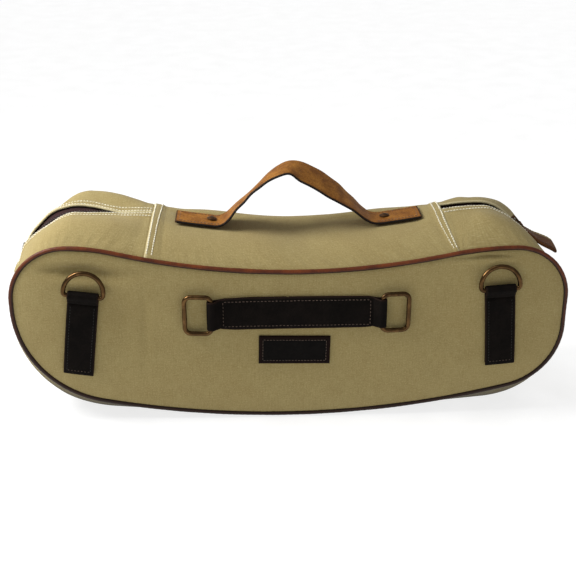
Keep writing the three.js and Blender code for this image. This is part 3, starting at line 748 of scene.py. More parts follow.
def piping(half, side):
    """Leather rolled round a cord, a little uneven where it was sewn."""
    path = resample(RIMS[side].points, PIPING_STEPS + 1)[:-1]
    at = np.arange(PIPING_STEPS) * 1.6
    radius = PIPING_RADIUS + 0.1 * ripple(at, 0, 34, 3 + side) + 0.05 * np.sin(at * 0.9)
    along = unit(np.roll(path, -1, axis=0) - np.roll(path, 1, axis=0))
    # Painted shade on the piping: darkened on its side against the face, where the seam is shaded, and on its
    # lower half.
    painted_face_side_shade = 0.95 * smooth(-np.cos(round_turn(PIPING_SIDES)), -0.2, 0.6)
    painted_lower_shade = 0.9 * smooth(along[:, :1], 0.75, -0.6)  # painted shade: the lower half, turned from the light, is darkened
    tube(f"{half}_piping_leather", stack(path[:, 0], side * HALF_DEPTH, path[:, 1]), (0, 1, 0), radius,
         leather["piping_leather"], PIPING_SIDES, np.maximum(painted_face_side_shade, painted_lower_shade), replaces=[f"{half}_piping"],
         slot="piping_leather")


for shell_piece in (face_panel, piping):
    for half_name, half_side in HALVES.items():
        shell_piece(half_name, half_side)

# ---------------------------------------------------------------- gusset canvas
SEAM_Y = 63.6  # canvas runs in under the piping to here
HEM = 0.75  # how much a folded hem adds
FLAP_ROW = 8.2  # stitch row's distance from the flap's fold
FOLD_ROW = 1.7  # the second row's, beside the fold
LEFT_ROWS = (0.9, 6.2)  # cross seam rows' distances from the top panel's edge
RIGHT_ROWS = (0.9, 5.8)
LOW_ROWS = (1.4, 5.4)  # the lower cross seams' rows, from the bottom panel's edge
LAP = 3.5  # how far canvas reaches under the panel sewn over it
TUCK = 1.5  # how far it sinks there
FLAP_DISTANCES = np.array([0, 0.6, 1.2, 1.7, 2.3, 3.4, 4.8, 6.2, 7.3, 8.2, 9.0, 9.8, 11, 13])

# How far each flap's fold stands out from the CAD's skin: (distance from the top panel's seam, height) pairs
LIPS = {
    ("right", -1): [(0, 4.2), (14, 3.2), (23, 1.2), (33, -0.4), (45, 0.8), (57, 0), (75, 0), (84, 1.5),
                    (93, 3.2), (102, 2.8), (110, 0.5)],
    ("right", 1): [(0, 4), (14, 2.2), (30, 0), (48, 0.6), (60, 0.6), (70, -1), (80, -0.5), (125, 0)],
    ("left", -1): [(0, 3), (15, 0), (30, -2.8), (45, -2.4), (57, -1.8), (78, -0.4), (90, -2.4), (100, -4),
                   (112, -3.4), (124, -1), (135, 2.4), (165, 2.6), (180, 1)],
    ("left", 1): [(0, 3), (15, 0), (30, -2.6), (45, -1.2), (57, 0.2), (78, 1.8), (100, 2.6), (118, 0.6),
                  (135, 2), (165, 2.2), (180, 1)],
}
# The same half way from the fold to the piping, and that place's distance from the fold and its width
SHOULDERS = {
    ("right", -1): [(60, 0), (77, 0.5), (92, 1.5), (105, 3), (125, 3)],
    ("right", 1): [(0, -0.5), (14, 0), (30, 0.5), (42, 1.8), (55, 3.8), (66, 5.8), (78, 6.5), (92, 6.5),
                   (105, 4.5), (125, 0)],
    ("left", -1): [(0, 0), (180, 0)],
    ("left", 1): [(0, 3.5), (15, 4.5), (30, 4.5), (45, 2), (57, -0.5), (78, -1.5), (90, -2), (105, -1.5),
                  (120, -2.5), (140, -2.5), (165, -1)],
}
SHOULDER_PLACE = {-1: (38, 16), 1: (26, 16)}


def hem_rise(distance, width):
    """A hem's thickness at a distance from its fold, with dents where it is sewn."""
    return HEM * (1 - smooth(distance, width, width + 1.6))


def gusset_relief(y, at):
    """The canvas's own unevenness: slow hollows, and small puckers beside the piping and the cross seams."""
    slow = 0.5 * ripple(at, y, 110, 21) + 0.14 * ripple(at, y, 30, 22)
    edge = bell(np.abs(y), 57, 5) * 0.28 * np.sin(at / 1.9 + 2 * ripple(at, y, 50, 8))
    return slow * (1 - bell(np.abs(y), 65, 6)) + edge


def along_knots(knots, at):
    """A smooth curve through (distance, value) pairs."""
    fine = np.linspace(-20, 200, 441)
    kernel = np.hanning(29)
    steps = np.pad(np.interp(fine, *np.transpose(knots)), 14, mode="edge")
    return np.interp(at, fine, np.convolve(steps, kernel / kernel.sum(), mode="valid"))


def flap_lip(side, sign, to_top, away):
    """How a flap rises towards its fold, and how full it is behind it."""
    uneven = 0.25 * bell(away, 0, 5) * ripple(to_top, 0, 38, 41 if sign < 0 else 42)
    fold = along_knots(LIPS[side, sign], to_top) * bell(away, 0, 17)
    return uneven + fold + along_knots(SHOULDERS[side, sign], to_top) * bell(away, *SHOULDER_PLACE[sign])


def seam_lift(side, y, distance):
    """The top panel's ends stand as high as the flaps sewn under them."""
    front, back = (flap_lip(side, sign, 0 * y, np.maximum(np.abs(y) - 7, 0)) for sign in (-1, 1))
    share = smooth(y, -6, 6)
    return (front * (1 - share) + back * share) * (1 - smooth(distance, 4, 30))


def top_relief(y, at, length):
    """The top panel sinks between the handle's ends and is pressed down under them."""
    x = -136 + at
    sink = -2.4 * bell(x, 6, 24) * (1 - (y / 65) ** 4) * (1 - 0.6 * smooth(y, 5, 35))
    shoulders = 0.9 * bell(x, -36, 18) + 0.7 * bell(x, 48, 18)
    seam_pull = -0.5 * (bell(at, 11, 5) + bell(length - at, 9, 5))
    under_left = smooth(x, -118, -108) * (1 - smooth(x, -66, -56))
    under_handle = under_left + smooth(x, 78, 88) * (1 - smooth(x, 126, 136))
    press = 1 - under_handle * (1 - smooth(np.abs(y), 18, 26))
    back_dip = -6 * bell(x, -128, 13) * bell(y, 50, 13)
    full = bell(y, 34, 22) * smooth(np.abs(y), 15, 24) * (5.4 * bell(x, -80, 42) + 4.6 * bell(x, 82, 38))
    full = full + 3.4 * bell(x, 8, 40) * bell(y, 42, 24)
    ends = seam_lift("left", y, at) + seam_lift("right", y, length - at)
    relief = (sink + shoulders * (1 - np.abs(y / 65)) + seam_pull) * press + back_dip + full + ends
    return relief + gusset_relief(y, at) * press * 0.8


def canvas_sheet(name, node, s, y, along, rise, depth, material, mark):
    """Canvas round the gusset, from rise above the CAD's skin to depth under it."""
    sheet(name, gusset(s, y, -rise), gusset(s, y, depth), material, stack(along, y), mark, replaces=[node],
          slot="canvas")


def across_panel(s, at, y):
    s2, y2 = np.meshgrid(s, y, indexing="ij")
    return s2, y2, np.broadcast_to(at[:, None], s2.shape)


def top_panel():
    s, at, length = spaced_stations(TOP, 2.2)
    y = np.concatenate([[-SEAM_Y, -62, -60], np.linspace(-58, 58, 49), [60, 62, SEAM_Y]])
    s, y, at = across_panel(s, at, y)
    hems = hem_rise(at, 8.6) + hem_rise(length - at, 6.4)
    dents = sum(bell(at, row, 0.9) for row in LEFT_ROWS)
    dents = dents + sum(bell(length - at, row, 0.9) for row in RIGHT_ROWS)
    rise = top_relief(y, at, length) + hems - 0.35 * dents
    fold = (bell(at, 0, 0.8) + bell(length - at, 0, 0.8)) * 0.8
    canvas_sheet("top_canvas", "top_panel", s, y, at, rise, CANVAS - rise + hems, canvas, fold)
    return length


def bottom_panel():
    s, at, length = spaced_stations(BOTTOM, 3.0, (LAP, LAP))
    y = np.concatenate([[-SEAM_Y, -62, -60], np.linspace(-57, 57, 31), [60, 62, SEAM_Y]])
    s, y, at = across_panel(s, at, y)
    ends = np.minimum(at, length - at)
    free = smooth(gusset(s, y, 0)[..., 2], 1, 22)  # no relief where the bag stands on its base
    tuck = TUCK * (1 - smooth(ends, -0.3, 1.2))
    rise = (gusset_relief(y, at + 900) + 2.2 * bell(np.abs(y), 42, 16)) * free - tuck
    painted_underside_shade = smooth(-gusset_normal(s, y)[..., 2], 0.35, 0.85)  # painted shade, darkest where it faces the ground
    canvas_sheet("bottom_canvas", "bottom_panel", s, y, at, rise, CANVAS - rise, canvas_base, painted_underside_shade)


def slit_half(s):
    return np.where(s > 7.5, SLIT_HALF - 7.4 * smooth(s, 13.0, 13.6), SLIT_HALF - 1.5)


def zip_flap(side, half, span):
    """A canvas flap beside a zip: folded at the slit, hemmed, and sewn into the seams at its other edges."""
    sign = HALVES[half]
    s, at, length = spaced_stations(span, 2.0, (LAP, 0) if side == "right" else (0, LAP))
    slit = slit_half(s)[:, None]
    fold_part = FLAP_DISTANCES[-1]
    outer_part = slit + fold_part + (SEAM_Y - slit - fold_part) * np.linspace(0, 1, 20)[1:] ** 0.9
    y = sign * np.concatenate([slit + FLAP_DISTANCES, outer_part], axis=1)
    s, at = np.broadcast_to(s[:, None], y.shape), np.broadcast_to(at[:, None], y.shape)
    away = np.abs(y) - slit
    to_top, to_end = (at, length - at) if side == "right" else (length - at, at)
    hems = hem_rise(away, FLAP_ROW + 0.8) + hem_rise(to_end, 6)
    dents = 0.4 * bell(away, FLAP_ROW, 0.9) + 0.2 * bell(away, FOLD_ROW, 0.6) + 0.5 * bell(to_top, 7, 4)
    tuck = TUCK * (1 - smooth(to_top, -0.3, 1.2))
    lift = flap_lip(side, sign, to_top, away) + gusset_relief(y, at + 400) * 0.9 - tuck
    canvas_sheet(f"{side}_{half}_flap", f"{side}_zip_{half}_strip", s, y, at + 37 * sign, lift + hems - dents,
                 CANVAS - lift, canvas, 0.9 * bell(away, 0, 1.8))


def flap_rows(stitching, side, sign, span):
    """The two rows of stitches that follow a flap's fold."""
    s, at, length = spaced_stations(span, 1.5)
    to_top, to_end = (at, length - at) if side == "right" else (length - at, at)
    keep = (to_top > 0.5) & (to_end > 6)
    s, at, to_top = s[keep], at[keep], to_top[keep]
    for distance, lift in ((FLAP_ROW, HEM - 0.2), (FOLD_ROW, HEM + 0.05)):
        y = sign * (slit_half(s) + distance)
        own = gusset_relief(y, at + 400) * 0.9 + flap_lip(side, sign, to_top, np.full_like(s, distance))
        stitching.row(gusset(s, y, -(lift + own)), gusset_normal(s, y), 3.0, int(distance) + (sign > 0))


def seam_row(stitching, station, offset, rate, lift, pitch=3.1, seed=0, spread=0, panel_at=None):
    """A row of stitches across the gusset, beside a cross seam. spread is its slant."""
    y = np.linspace(-61, 61, 90)
    s = station + (offset + spread * (y + 50)) * rate
    if panel_at is not None:
        lift = lift + top_relief(y, panel_at, top_length) - 0.1
    stitching.row(gusset(s, y, -lift), gusset_normal(s, y), pitch, seed)


top_length = top_panel()
bottom_panel()
seams = Stitching()
flap_stitches = Stitching()
for zip_side, zip_span in (("right", RIGHT_ZIP), ("left", LEFT_ZIP)):
    for half_name, half_side in HALVES.items():
        zip_flap(zip_side, half_name, zip_span)
        if (zip_side, half_name) != ("right", "back"):  # this fold is not stitched where it shows
            flap_rows(flap_stitches, zip_side, half_side, zip_span)

# Cross seams: rows on the top panel's hems, and on the hems above the base
top_rate = 1 / top_length
for number, row in enumerate(LEFT_ROWS):
    lean = 0.035 * number
    seam_row(seams, 0, row - 20 * lean, top_rate, HEM, 2.9, number, lean, row)
for number, row in enumerate(RIGHT_ROWS):
    seam_row(seams, 1, -row, top_rate, HEM, seed=10 + number, panel_at=top_length - row)
for number, row in enumerate(LOW_ROWS):
    seam_row(seams, 4, -row, station_rate(3.85, 3.95), HEM + 0.1, seed=20 + number)
    seam_row(seams, 11, row, station_rate(11.05, 11.15), HEM + 0.1, seed=30 + number)
seams.build("cross_seam_stitches", 2.6, 0.6, cream_thread)
flap_stitches.build("flap_stitches", 2.4, 0.55, cream_thread)

# ---------------------------------------------------------------- zips
TAPE_YS = np.array([1.0, 2.2, 3.2, 3.8, 4.6, 8, 12, 15])
TAPE_TOP = 4
TAPE_BOTTOM = 4.6
TOOTH_PITCH = 2.5
TOOTH_LENGTH = 2.6
TOOTH_RADIUS = 0.72
TOOTH_Y = 2.1
TOOTH_DEPTH = 2.9


def zip_tapes(side, span):
    """The woven tape and the row of teeth on each half of a zip."""
    s, at, length = spaced_stations(span, 2.5)
    to_top = (at if side == "right" else length - at)[1:-1, None]
    for half, sign in HALVES.items():
        s2, y2 = np.meshgrid(s[1:-1], sign * TAPE_YS, indexing="ij")
        follow = np.maximum(along_knots(LIPS[side, sign], to_top) + 1, 0) * smooth(np.abs(y2), 5.6, 8.5)
        bead = 0.5 * bell(np.abs(y2), 2.2, 1.1) + follow  # the cord inside the tape's edge
        top, low = gusset(s2, y2, TAPE_TOP - bead), gusset(s2, y2, TAPE_BOTTOM - follow)
        sheet(f"{side}_{half}_zip_tape", top, low, zip_tape, stack(at[1:-1, None], y2),
              replaces=[f"{side}_zip_{half}_tape"], slot="zip_tape")
        first = 8 + (0.25 if sign < 0 else 0.75) * TOOTH_PITCH
        tooth_s = np.interp(np.arange(first, length - 8, TOOTH_PITCH), at, s)
        middles, ups = gusset(tooth_s, sign * TOOTH_Y, TOOTH_DEPTH), gusset_normal(tooth_s, sign * TOOTH_Y)
        across = np.broadcast_to((0.0, 1.0, 0.0), middles.shape)
        capsules(f"{side}_{half}_zip_teeth", middles, across, ups, TOOTH_LENGTH, TOOTH_RADIUS, teeth, sink=0,
                 replaces=[f"{side}_zip_{half}_teeth"], slot="zip_teeth")


zip_tapes("right", RIGHT_ZIP)
zip_tapes("left", LEFT_ZIP)

# ---------------------------------------------------------------- handle
HANDLE_WIDTH = 32
HANDLE_THICKNESS = 4
HANDLE_ENDS = (-111, 129)
HANDLE_ROW = 12.6  # stitch rows' distance from the handle's middle line
RIVETS = {"left": -77, "right": 95}


def crown_top(x):
    return float(crown.at(crown.top_parameter(x))[1])


def flat_points(*xs):
    return [(x, crown_top(x) + HANDLE_THICKNESS / 2 + 0.5) for x in xs]


HANDLE_POINTS = (
    flat_points(HANDLE_ENDS[0], -100, -90, -80, -71)
    + [(-63, crown_top(-63) + 6), (-50, 199), (-38.4, 210), (-20.6, 226.5), (-9, 234), (1, 236.5)]
    + [(14, 231.5), (32, 221.2), (61, 199.8), (74, crown_top(74) + 9), (81, crown_top(81) + 4.2)]
    + flat_points(89, 99, 109, 119, HANDLE_ENDS[1])
)


def through(points):
    """A centripetal Catmull-Rom curve through points."""
    p = np.asarray(points, float)
    p = np.vstack([2 * p[0] - p[1], p, 2 * p[-1] - p[-2]])
    curve = []
    for a, b, c, d in zip(p, p[1:], p[2:], p[3:]):
        t1, t2, t3 = np.cumsum([math.sqrt(np.linalg.norm(q - r)) for q, r in ((b, a), (c, b), (d, c))])
        t = np.linspace(t1, t2, 24, endpoint=False)[:, None]
        a1 = (t1 - t) / t1 * a + t / t1 * b
        a2 = (t2 - t) / (t2 - t1) * b + (t - t1) / (t2 - t1) * c
        a3 = (t3 - t) / (t3 - t2) * c + (t - t2) / (t3 - t2) * d
        b1 = (t2 - t) / t2 * a1 + t / t2 * a2
        b2 = (t3 - t) / (t3 - t1) * a2 + (t - t1) / (t3 - t1) * a3
        curve.append((t2 - t) / (t2 - t1) * b1 + (t - t1) / (t2 - t1) * b2)
    return np.vstack([*curve, p[-2:-1]])


def mirrored(*shares):
    """Places from -1 to 1 across a strap, given those above 0."""
    return np.array([-share for share in shares[::-1]] + [0, *shares])


def handle():
    """One leather strap, riveted flat at both ends, with its arch slumped and twisted."""
    line = resample(through(HANDLE_POINTS), 230)
    x, z = line[:, 0], line[:, 1]
    along = unit(np.gradient(line, axis=0))
    normal = stack(-along[:, 1], 0, along[:, 0])
    level = np.array([0, 1, 0])
    # Twist about the strap's own line: positive lifts its front edge.
    twist = np.radians(10 * bell(x, -36, 18) - 21 * bell(x, 32, 27) - 8 * bell(x, 10, 9))[:, None]
    wide = level * np.cos(twist) - normal * np.sin(twist)
    face = normal * np.cos(twist) + level * np.sin(twist)
    at = lengths_along(line)
    width = HANDLE_WIDTH - 0.8 * bell(x, 1, 20) + 0.5 * ripple(at, 0, 60, 61)
    share = mirrored(0.3, 0.6, 0.8, 0.87, 0.94, 0.985, 1)
    across = share / 2 * width[:, None]
    wave = 0.35 * ripple(at[:, None], share * HANDLE_WIDTH / 2, 26, 62) * smooth(z, 186, 200)[:, None]
    cup = 0.9 * (1 - share**2) * smooth(z, 192, 212)[:, None]
    border = 0.35 * bell(np.abs(share) * HANDLE_WIDTH / 2, HANDLE_ROW, 0.9)
    border = border * (1 - smooth(z, 190, 197))[:, None]
    round_off = 0.5 * np.abs(share) ** 30
    half = HANDLE_THICKNESS / 2
    centre = stack(x, 0, z)[:, None] + wide[:, None] * across[..., None]
    outer = centre + face[:, None] * (half + wave + cup - border - round_off)[..., None]
    inner = centre + face[:, None] * (1.2 - half + wave + cup + round_off * 0.6)[..., None]
    edge = np.tile(smooth(np.abs(share), 0.97, 1), (len(x), 1))
    edge[0], edge[-1] = 0.8, 0.8
    uv = stack(at[:, None], across)
    piece = sheet("handle_strap", outer, inner, leather["tan_leather"], uv, edge, body=None,
                  replaces=["handle_grip", "handle_left_end", "handle_right_end"], slot="tan_leather")
    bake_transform(piece)
    return line


def base_rows(stitching, line, end, inner):
    """The stitched border on a riveted end of the handle."""
    end += math.copysign(3.4, inner - end)
    xs = np.linspace(min(end, inner), max(end, inner), 40)
    zs = np.interp(xs, line[:, 0], line[:, 1]) + HANDLE_THICKNESS / 2 - 0.15
    ys = np.linspace(-HANDLE_ROW, HANDLE_ROW, 40)
    for y in (-HANDLE_ROW, HANDLE_ROW):
        stitching.row(stack(xs, y, zs), (0, 0, 1), 3.2, int(y) + 50)
    stitching.row(stack(end, ys, np.interp(end, xs, zs)), (0, 0, 1), 3.2, 77)


handle_line = handle()
handle_stitches = Stitching()
base_rows(handle_stitches, handle_line, HANDLE_ENDS[0], -68)
base_rows(handle_stitches, handle_line, HANDLE_ENDS[1], 86)
handle_stitches.build("handle_stitches", 2.3, 0.38, dark_thread)

RIVET_PROFILE = np.array([  # distance from its axis, height
    (0, 2.2), (1.2, 2.12), (2.3, 1.85), (3.1, 1.4), (3.6, 0.95), (3.9, 0.8), (4.5, 0.75), (4.8, 0.45),
    (4.7, 0.0), (4.2, -0.25), (1.6, -0.3), (1.5, -12.2), (0, -12.2),
])


def rivet(side):
    """A domed rivet with a turned rim, down through the strap, the canvas and the leather inside."""
    x = RIVETS[side]
    axis = unit(np.array([-(crown_top(x + 1) - crown_top(x - 1)) / 2, 0, 1]))
    sides = 28
    turn = round_turn(sides)[:, None]
    across = np.array([0.0, 1.0, 0.0])
    ring = np.cos(turn) * across + np.sin(turn) * np.cross(axis, across)
    reach, height = RIVET_PROFILE[:, :1], RIVET_PROFILE[:, 1:]
    points = np.array([x, 0, crown_top(x)]) + axis * (HANDLE_THICKNESS + 1.1 + height) + ring[:, None] * reach
    make(f"{side}_rivet", points, lattice(sides, len(RIVET_PROFILE), close_rows=True), rivet_brass,
         replaces=[f"{side}_handle_rivet"], slot="antique_brass", merge=True)


rivet("left")
rivet("right")

# ---------------------------------------------------------------- straps with loops
STRAP_WIDTH = 28.5
WIRE_RADIUS = 2.25
LOOP_HEIGHT = 5.4
LOOP_RADIUS = 3.7  # of the middle of the leather round a bar
LAYER = 1.6
OUTER_LAYER = 2.75  # heights of the two layers' middles over the face
INNER_LAYER = 1.15
STRAP_ROW = 3.1  # stitch rows' distance from a strap's edges
D_HALF, D_LEG, D_CORNER = 18.5, 4, 3
CENTRE_Z = 116
CENTRE_BARS = {"left": -77, "right": 85.2}
CENTRE_WIDTH = 31
CENTRE_SEAM = 8.5  # the sewn line's distance from a bar
LABEL_PLACE = (1.9, 76.7)
LABEL_HALF = (34, 14.4)
LABEL_ROW = 3.5


def loop_bend():
    """The leather's path over a bar at 0, as places along the strap and heights over the face."""
    a = np.radians(np.linspace(152, -96, 22))
    return stack(LOOP_RADIUS * np.cos(a), LOOP_HEIGHT + LOOP_RADIUS * np.sin(a))


def strap_path(length, seam=9.0):
    """From the strap's far end, over the bar and back underneath."""
    out = [(-length, -0.25), (-length + 1.2, 0), *((b, 0) for b in np.linspace(-length + 4, -seam - 3, 22))]
    out += [(-seam - 1.0, -0.1), (-seam, -0.6), (-seam + 0.7, 0.7), (-seam + 2.4, 1.8), (-seam + 4.4, 2.7)]
    back = [(-4, 1.45), (-7, 1.25), *((b, INNER_LAYER) for b in (-12, *np.linspace(-18, -length + 2.5, 8)))]
    return np.vstack([np.array(out) + (0, OUTER_LAYER), loop_bend(), back])


def band(name, path, width, place, node, slot="dark_leather"):
    """A leather strip along a path of (along, height) pairs. place(across, along, height) gives points."""
    along = unit(np.gradient(path, axis=0))
    normal = stack(-along[:, 1], along[:, 0])[:, None]
    share = mirrored(0.3, 0.6, 0.82, 0.9, 0.97, 1)
    across = share / 2 * width[:, None]
    groove = 0.16 * bell(np.abs(across) - np.abs(across[:, :1]), -STRAP_ROW, 0.7)
    round_off = 0.3 * np.abs(share) ** 24
    skins = []
    for height in (LAYER / 2 - round_off - groove, round_off - LAYER / 2):
        p = path[:, None] + normal * height[..., None]
        skins.append(place(across, p[..., 0], p[..., 1]))
    edge = np.tile(smooth(np.abs(share), 0.93, 1) * 0.8, (len(path), 1))
    sheet(name, *skins, leather["dark_leather"], stack(lengths_along(path)[:, None], across), edge,
          replaces=[node], slot=slot)


def tilted(lean):
    """Directions along the face to a leaning strap's right and up."""
    a = math.radians(lean)
    return np.array([math.cos(a), -math.sin(a)]), np.array([math.sin(a), math.cos(a)])


def bar_height(x, z):
    """How far out the face's CAD skin is at a bar."""
    return float(puff(from_rim(np.array(x), np.array(z))))


def strap_row(stitching, place, a, b, height, pitch=2.9, seed=0):
    """Stitches on a strap from a[0], b[0] to a[1], b[1]."""
    t = np.linspace(0, 1, 60)
    line = place(a[0] + (a[1] - a[0]) * t, b[0] + (b[1] - b[0]) * t, np.full(60, height))
    stitching.row(line, (0, -1, 0), pitch, seed)


def ring(side, kind, path, x, z, bar, bow, lean):
    """A wire ring at x, z. Its straight side runs along bar and its bow towards bow, tipped in by lean."""
    a = math.radians(lean)
    bow = np.asarray(bow, float) * math.cos(a) + (0, math.sin(a), 0)
    centre = np.array([x, -HALF_DEPTH - bar_height(x, z) - LOOP_HEIGHT, z])
    points = centre + path[:, :1] * bar + path[:, 1:] * bow
    radius = WIRE_RADIUS + 0.03 * ripple(np.arange(len(path)), 0, 40, 91)
    body = side + {"d": "_d", "box": "_loop"}[kind]
    tube(f"{side}_{kind}_ring_wire", points, np.cross(bar, bow), radius, brass, 16, body=body,
         replaces=[f"{body}_ring"], slot="antique_brass")


def d_ring_path():
    turn = np.linspace(0, 1, 8)
    right = arc(D_HALF - D_CORNER, D_CORNER, D_CORNER, -90, 0)(turn)
    left = arc(-D_HALF + D_CORNER, D_CORNER, D_CORNER, 180, 270)(turn)
    bow = arc(0, D_LEG, D_HALF, 0, 180)(np.linspace(0, 1, 60))
    return resample(np.vstack([right, bow, left, right[:1]]), 141)[:-1]


def ring_strap(side, x, z, lean, length):
    right, up = tilted(lean)
    fixed = bar_height(x, z)

    def place(a, b, h):
        held = 1 - smooth(-b, 6, 16)  # the loop round the bar keeps its round shape
        return on_face(x + right[0] * a + up[0] * b, z + right[1] * a + up[1] * b, h, held, fixed)

    path = strap_path(length)
    width = STRAP_WIDTH + 0.25 * ripple(np.arange(len(path)) * 4.0, 0, 60, 71)
    band(f"{side}_strap", path, width, place, f"{side}_ring_strap")
    top = OUTER_LAYER + LAYER / 2 + 0.05
    reach = STRAP_WIDTH / 2 - STRAP_ROW
    for a in (-reach, reach):
        strap_row(side_stitches, place, (a, a), (4 - length, -11.5), top - 0.12, seed=int(a) + 90)
    strap_row(pale_stitches, place, (-reach, reach), (4 - length, 4 - length), top, seed=17)
    ring(side, "d", d_ring_path(), x, z, np.array([right[0], 0, right[1]]), (up[0], 0, up[1]), 5)


def centre_strap():
    """A strap folded round a bar at each end, sewn down between them."""
    left, right = CENTRE_BARS["left"], CENTRE_BARS["right"]
    near, far = left + CENTRE_SEAM, right - CENTRE_SEAM
    bend = loop_bend()
    under_left = [(x, INNER_LAYER) for x in (-6, -40, near + 4)] + [(left + 6.5, 1.3), (left + 3.4, 1.5)]
    over = [(left + 5.2, 2.8), (near - 1.9, 1.2), (near, -0.45), (near + 1.6, 0)]
    over += [(x, 0) for x in np.linspace(near + 4, far - 4, 46)]
    over += [(far - 1.6, 0), (far, -0.45), (far + 1.9, 1.2), (right - 5.2, 2.8)]
    under_right = [(right - 3.4, 1.5), (right - 6.5, 1.3)] + [(x, INNER_LAYER) for x in (far - 4, 40, -3)]
    path = np.vstack([under_left, bend[::-1] * (-1, 1) + (left, 0), np.array(over) + (0, OUTER_LAYER),
                      bend + (right, 0), under_right])
    x = path[:, 0]
    body_part = smooth(x, near - 8, near + 14) * (1 - smooth(x, far - 14, far + 8))
    width = STRAP_WIDTH + (CENTRE_WIDTH - STRAP_WIDTH + 0.45 * ripple(x, 0, 55, 81)) * body_part

    def place(a, b, h):
        held = np.maximum(smooth(left + 12 - b, 0, 8), smooth(b - right + 12, 0, 8))
        fixed = np.where(b < 0, bar_height(left, CENTRE_Z), bar_height(right, CENTRE_Z))
        return on_face(b, CENTRE_Z - a, h, held, fixed)

    band("centre_strap_leather", path, width, place, "centre_strap")
    top = OUTER_LAYER + LAYER / 2 + 0.08
    reach = CENTRE_WIDTH / 2 - STRAP_ROW
    for a in (-reach, reach):
        strap_row(tan_rows, place, (a, a), (near + 3, far - 3), top - 0.1, 3.4, int(a) + 120)
    for b in (near + 2.6, far - 2.6):
        strap_row(tan_rows, place, (-reach, reach), (b, b), top, 3.4, int(b) + 200)
    path = resample(rounded_box((-18.75, 0), (18.75, 25.5), 6.0, 9, first=1), 161)[:-1]
    for side, sign in (("left", -1), ("right", 1)):
        ring(side, "box", path, CENTRE_BARS[side], CENTRE_Z, np.array([0, 0, -sign]), (sign, 0, 0), 4)


def bordered(half, count):
    """Places from -half to half, with more of them near both ends."""
    ends = half - np.array([0, 0.6, 2, 3.6, 4.6])
    return np.concatenate([-ends, np.linspace(7 - half, half - 7, count), ends[::-1]])


def label():
    """A blank leather label with a raised, sewn border."""
    half_x, half_z = LABEL_HALF
    right, up = tilted(1.2)
    a, b = np.meshgrid(bordered(half_x, 24), bordered(half_z, 8), indexing="ij")
    inset = np.minimum(half_x - np.abs(a), half_z - np.abs(b))
    height = 2.4 - 0.3 * bell(inset, LABEL_ROW, 0.8) - 0.35 * smooth(inset, 4, 6) - 0.5 * bell(inset, 0, 0.5)

    def place(across, along, h):
        x = LABEL_PLACE[0] + right[0] * across + up[0] * along
        z = LABEL_PLACE[1] + right[1] * across + up[1] * along
        return on_face(x, z, h)

    sheet("label_leather", place(a, b, height), place(a, b, 0.3), leather["label_leather"], stack(a, b),
          1 - smooth(inset, 2.6, 3.8), replaces=["label_patch"], slot="dark_leather")
    reach_a, reach_b = half_x - LABEL_ROW, half_z - LABEL_ROW
    for end in (-1, 1):
        strap_row(tan_rows, place, (-reach_a, reach_a), (end * reach_b, end * reach_b), 2.4, 3.0, 300 + end)
        strap_row(tan_rows, place, (end * reach_a, end * reach_a), (-reach_b, reach_b), 2.4, 3.0, 310 + end)


side_stitches = Stitching()
pale_stitches = Stitching()
tan_rows = Stitching()
ring_strap("left", -196, 138, 7.5, 84)
ring_strap("right", 197.3, 138, -4.2, 81)
centre_strap()
label()
tan_rows.build("tan_stitches", 2.2, 0.36, tan_thread)
side_stitches.build("strap_side_stitches", 2.1, 0.27, black_thread)
pale_stitches.build("strap_end_stitches", 1.8, 0.34, tan_thread)

# ---------------------------------------------------------------- zip pulls
RIGHT_SLIDER_ANGLE = 41.5
BAIL_RISE = 1.7
RIGHT_PULL_ANGLE = -35.5
LINK_LENGTH, LINK_HALF, LINK_WIRE, LINK_CORNER = 9.5, 5.5, 0.75, 2
TAB_ROOT, TAB_END, TAB_ROOT_HALF, TAB_END_HALF, TAB_HALF_THICKNESS = 6.6, 50, 4, 14.5, 1.9
TAB_ROW = 3


def tab_drop(x, y):
    """How far the tab's surface sinks onto the canvas it hangs over, and rolls with it."""
    return 2.6 * smooth(x, 3, 13) - 3.2 * smooth(x, 25, 50) - y * 0.08 * smooth(x, 15, 45)


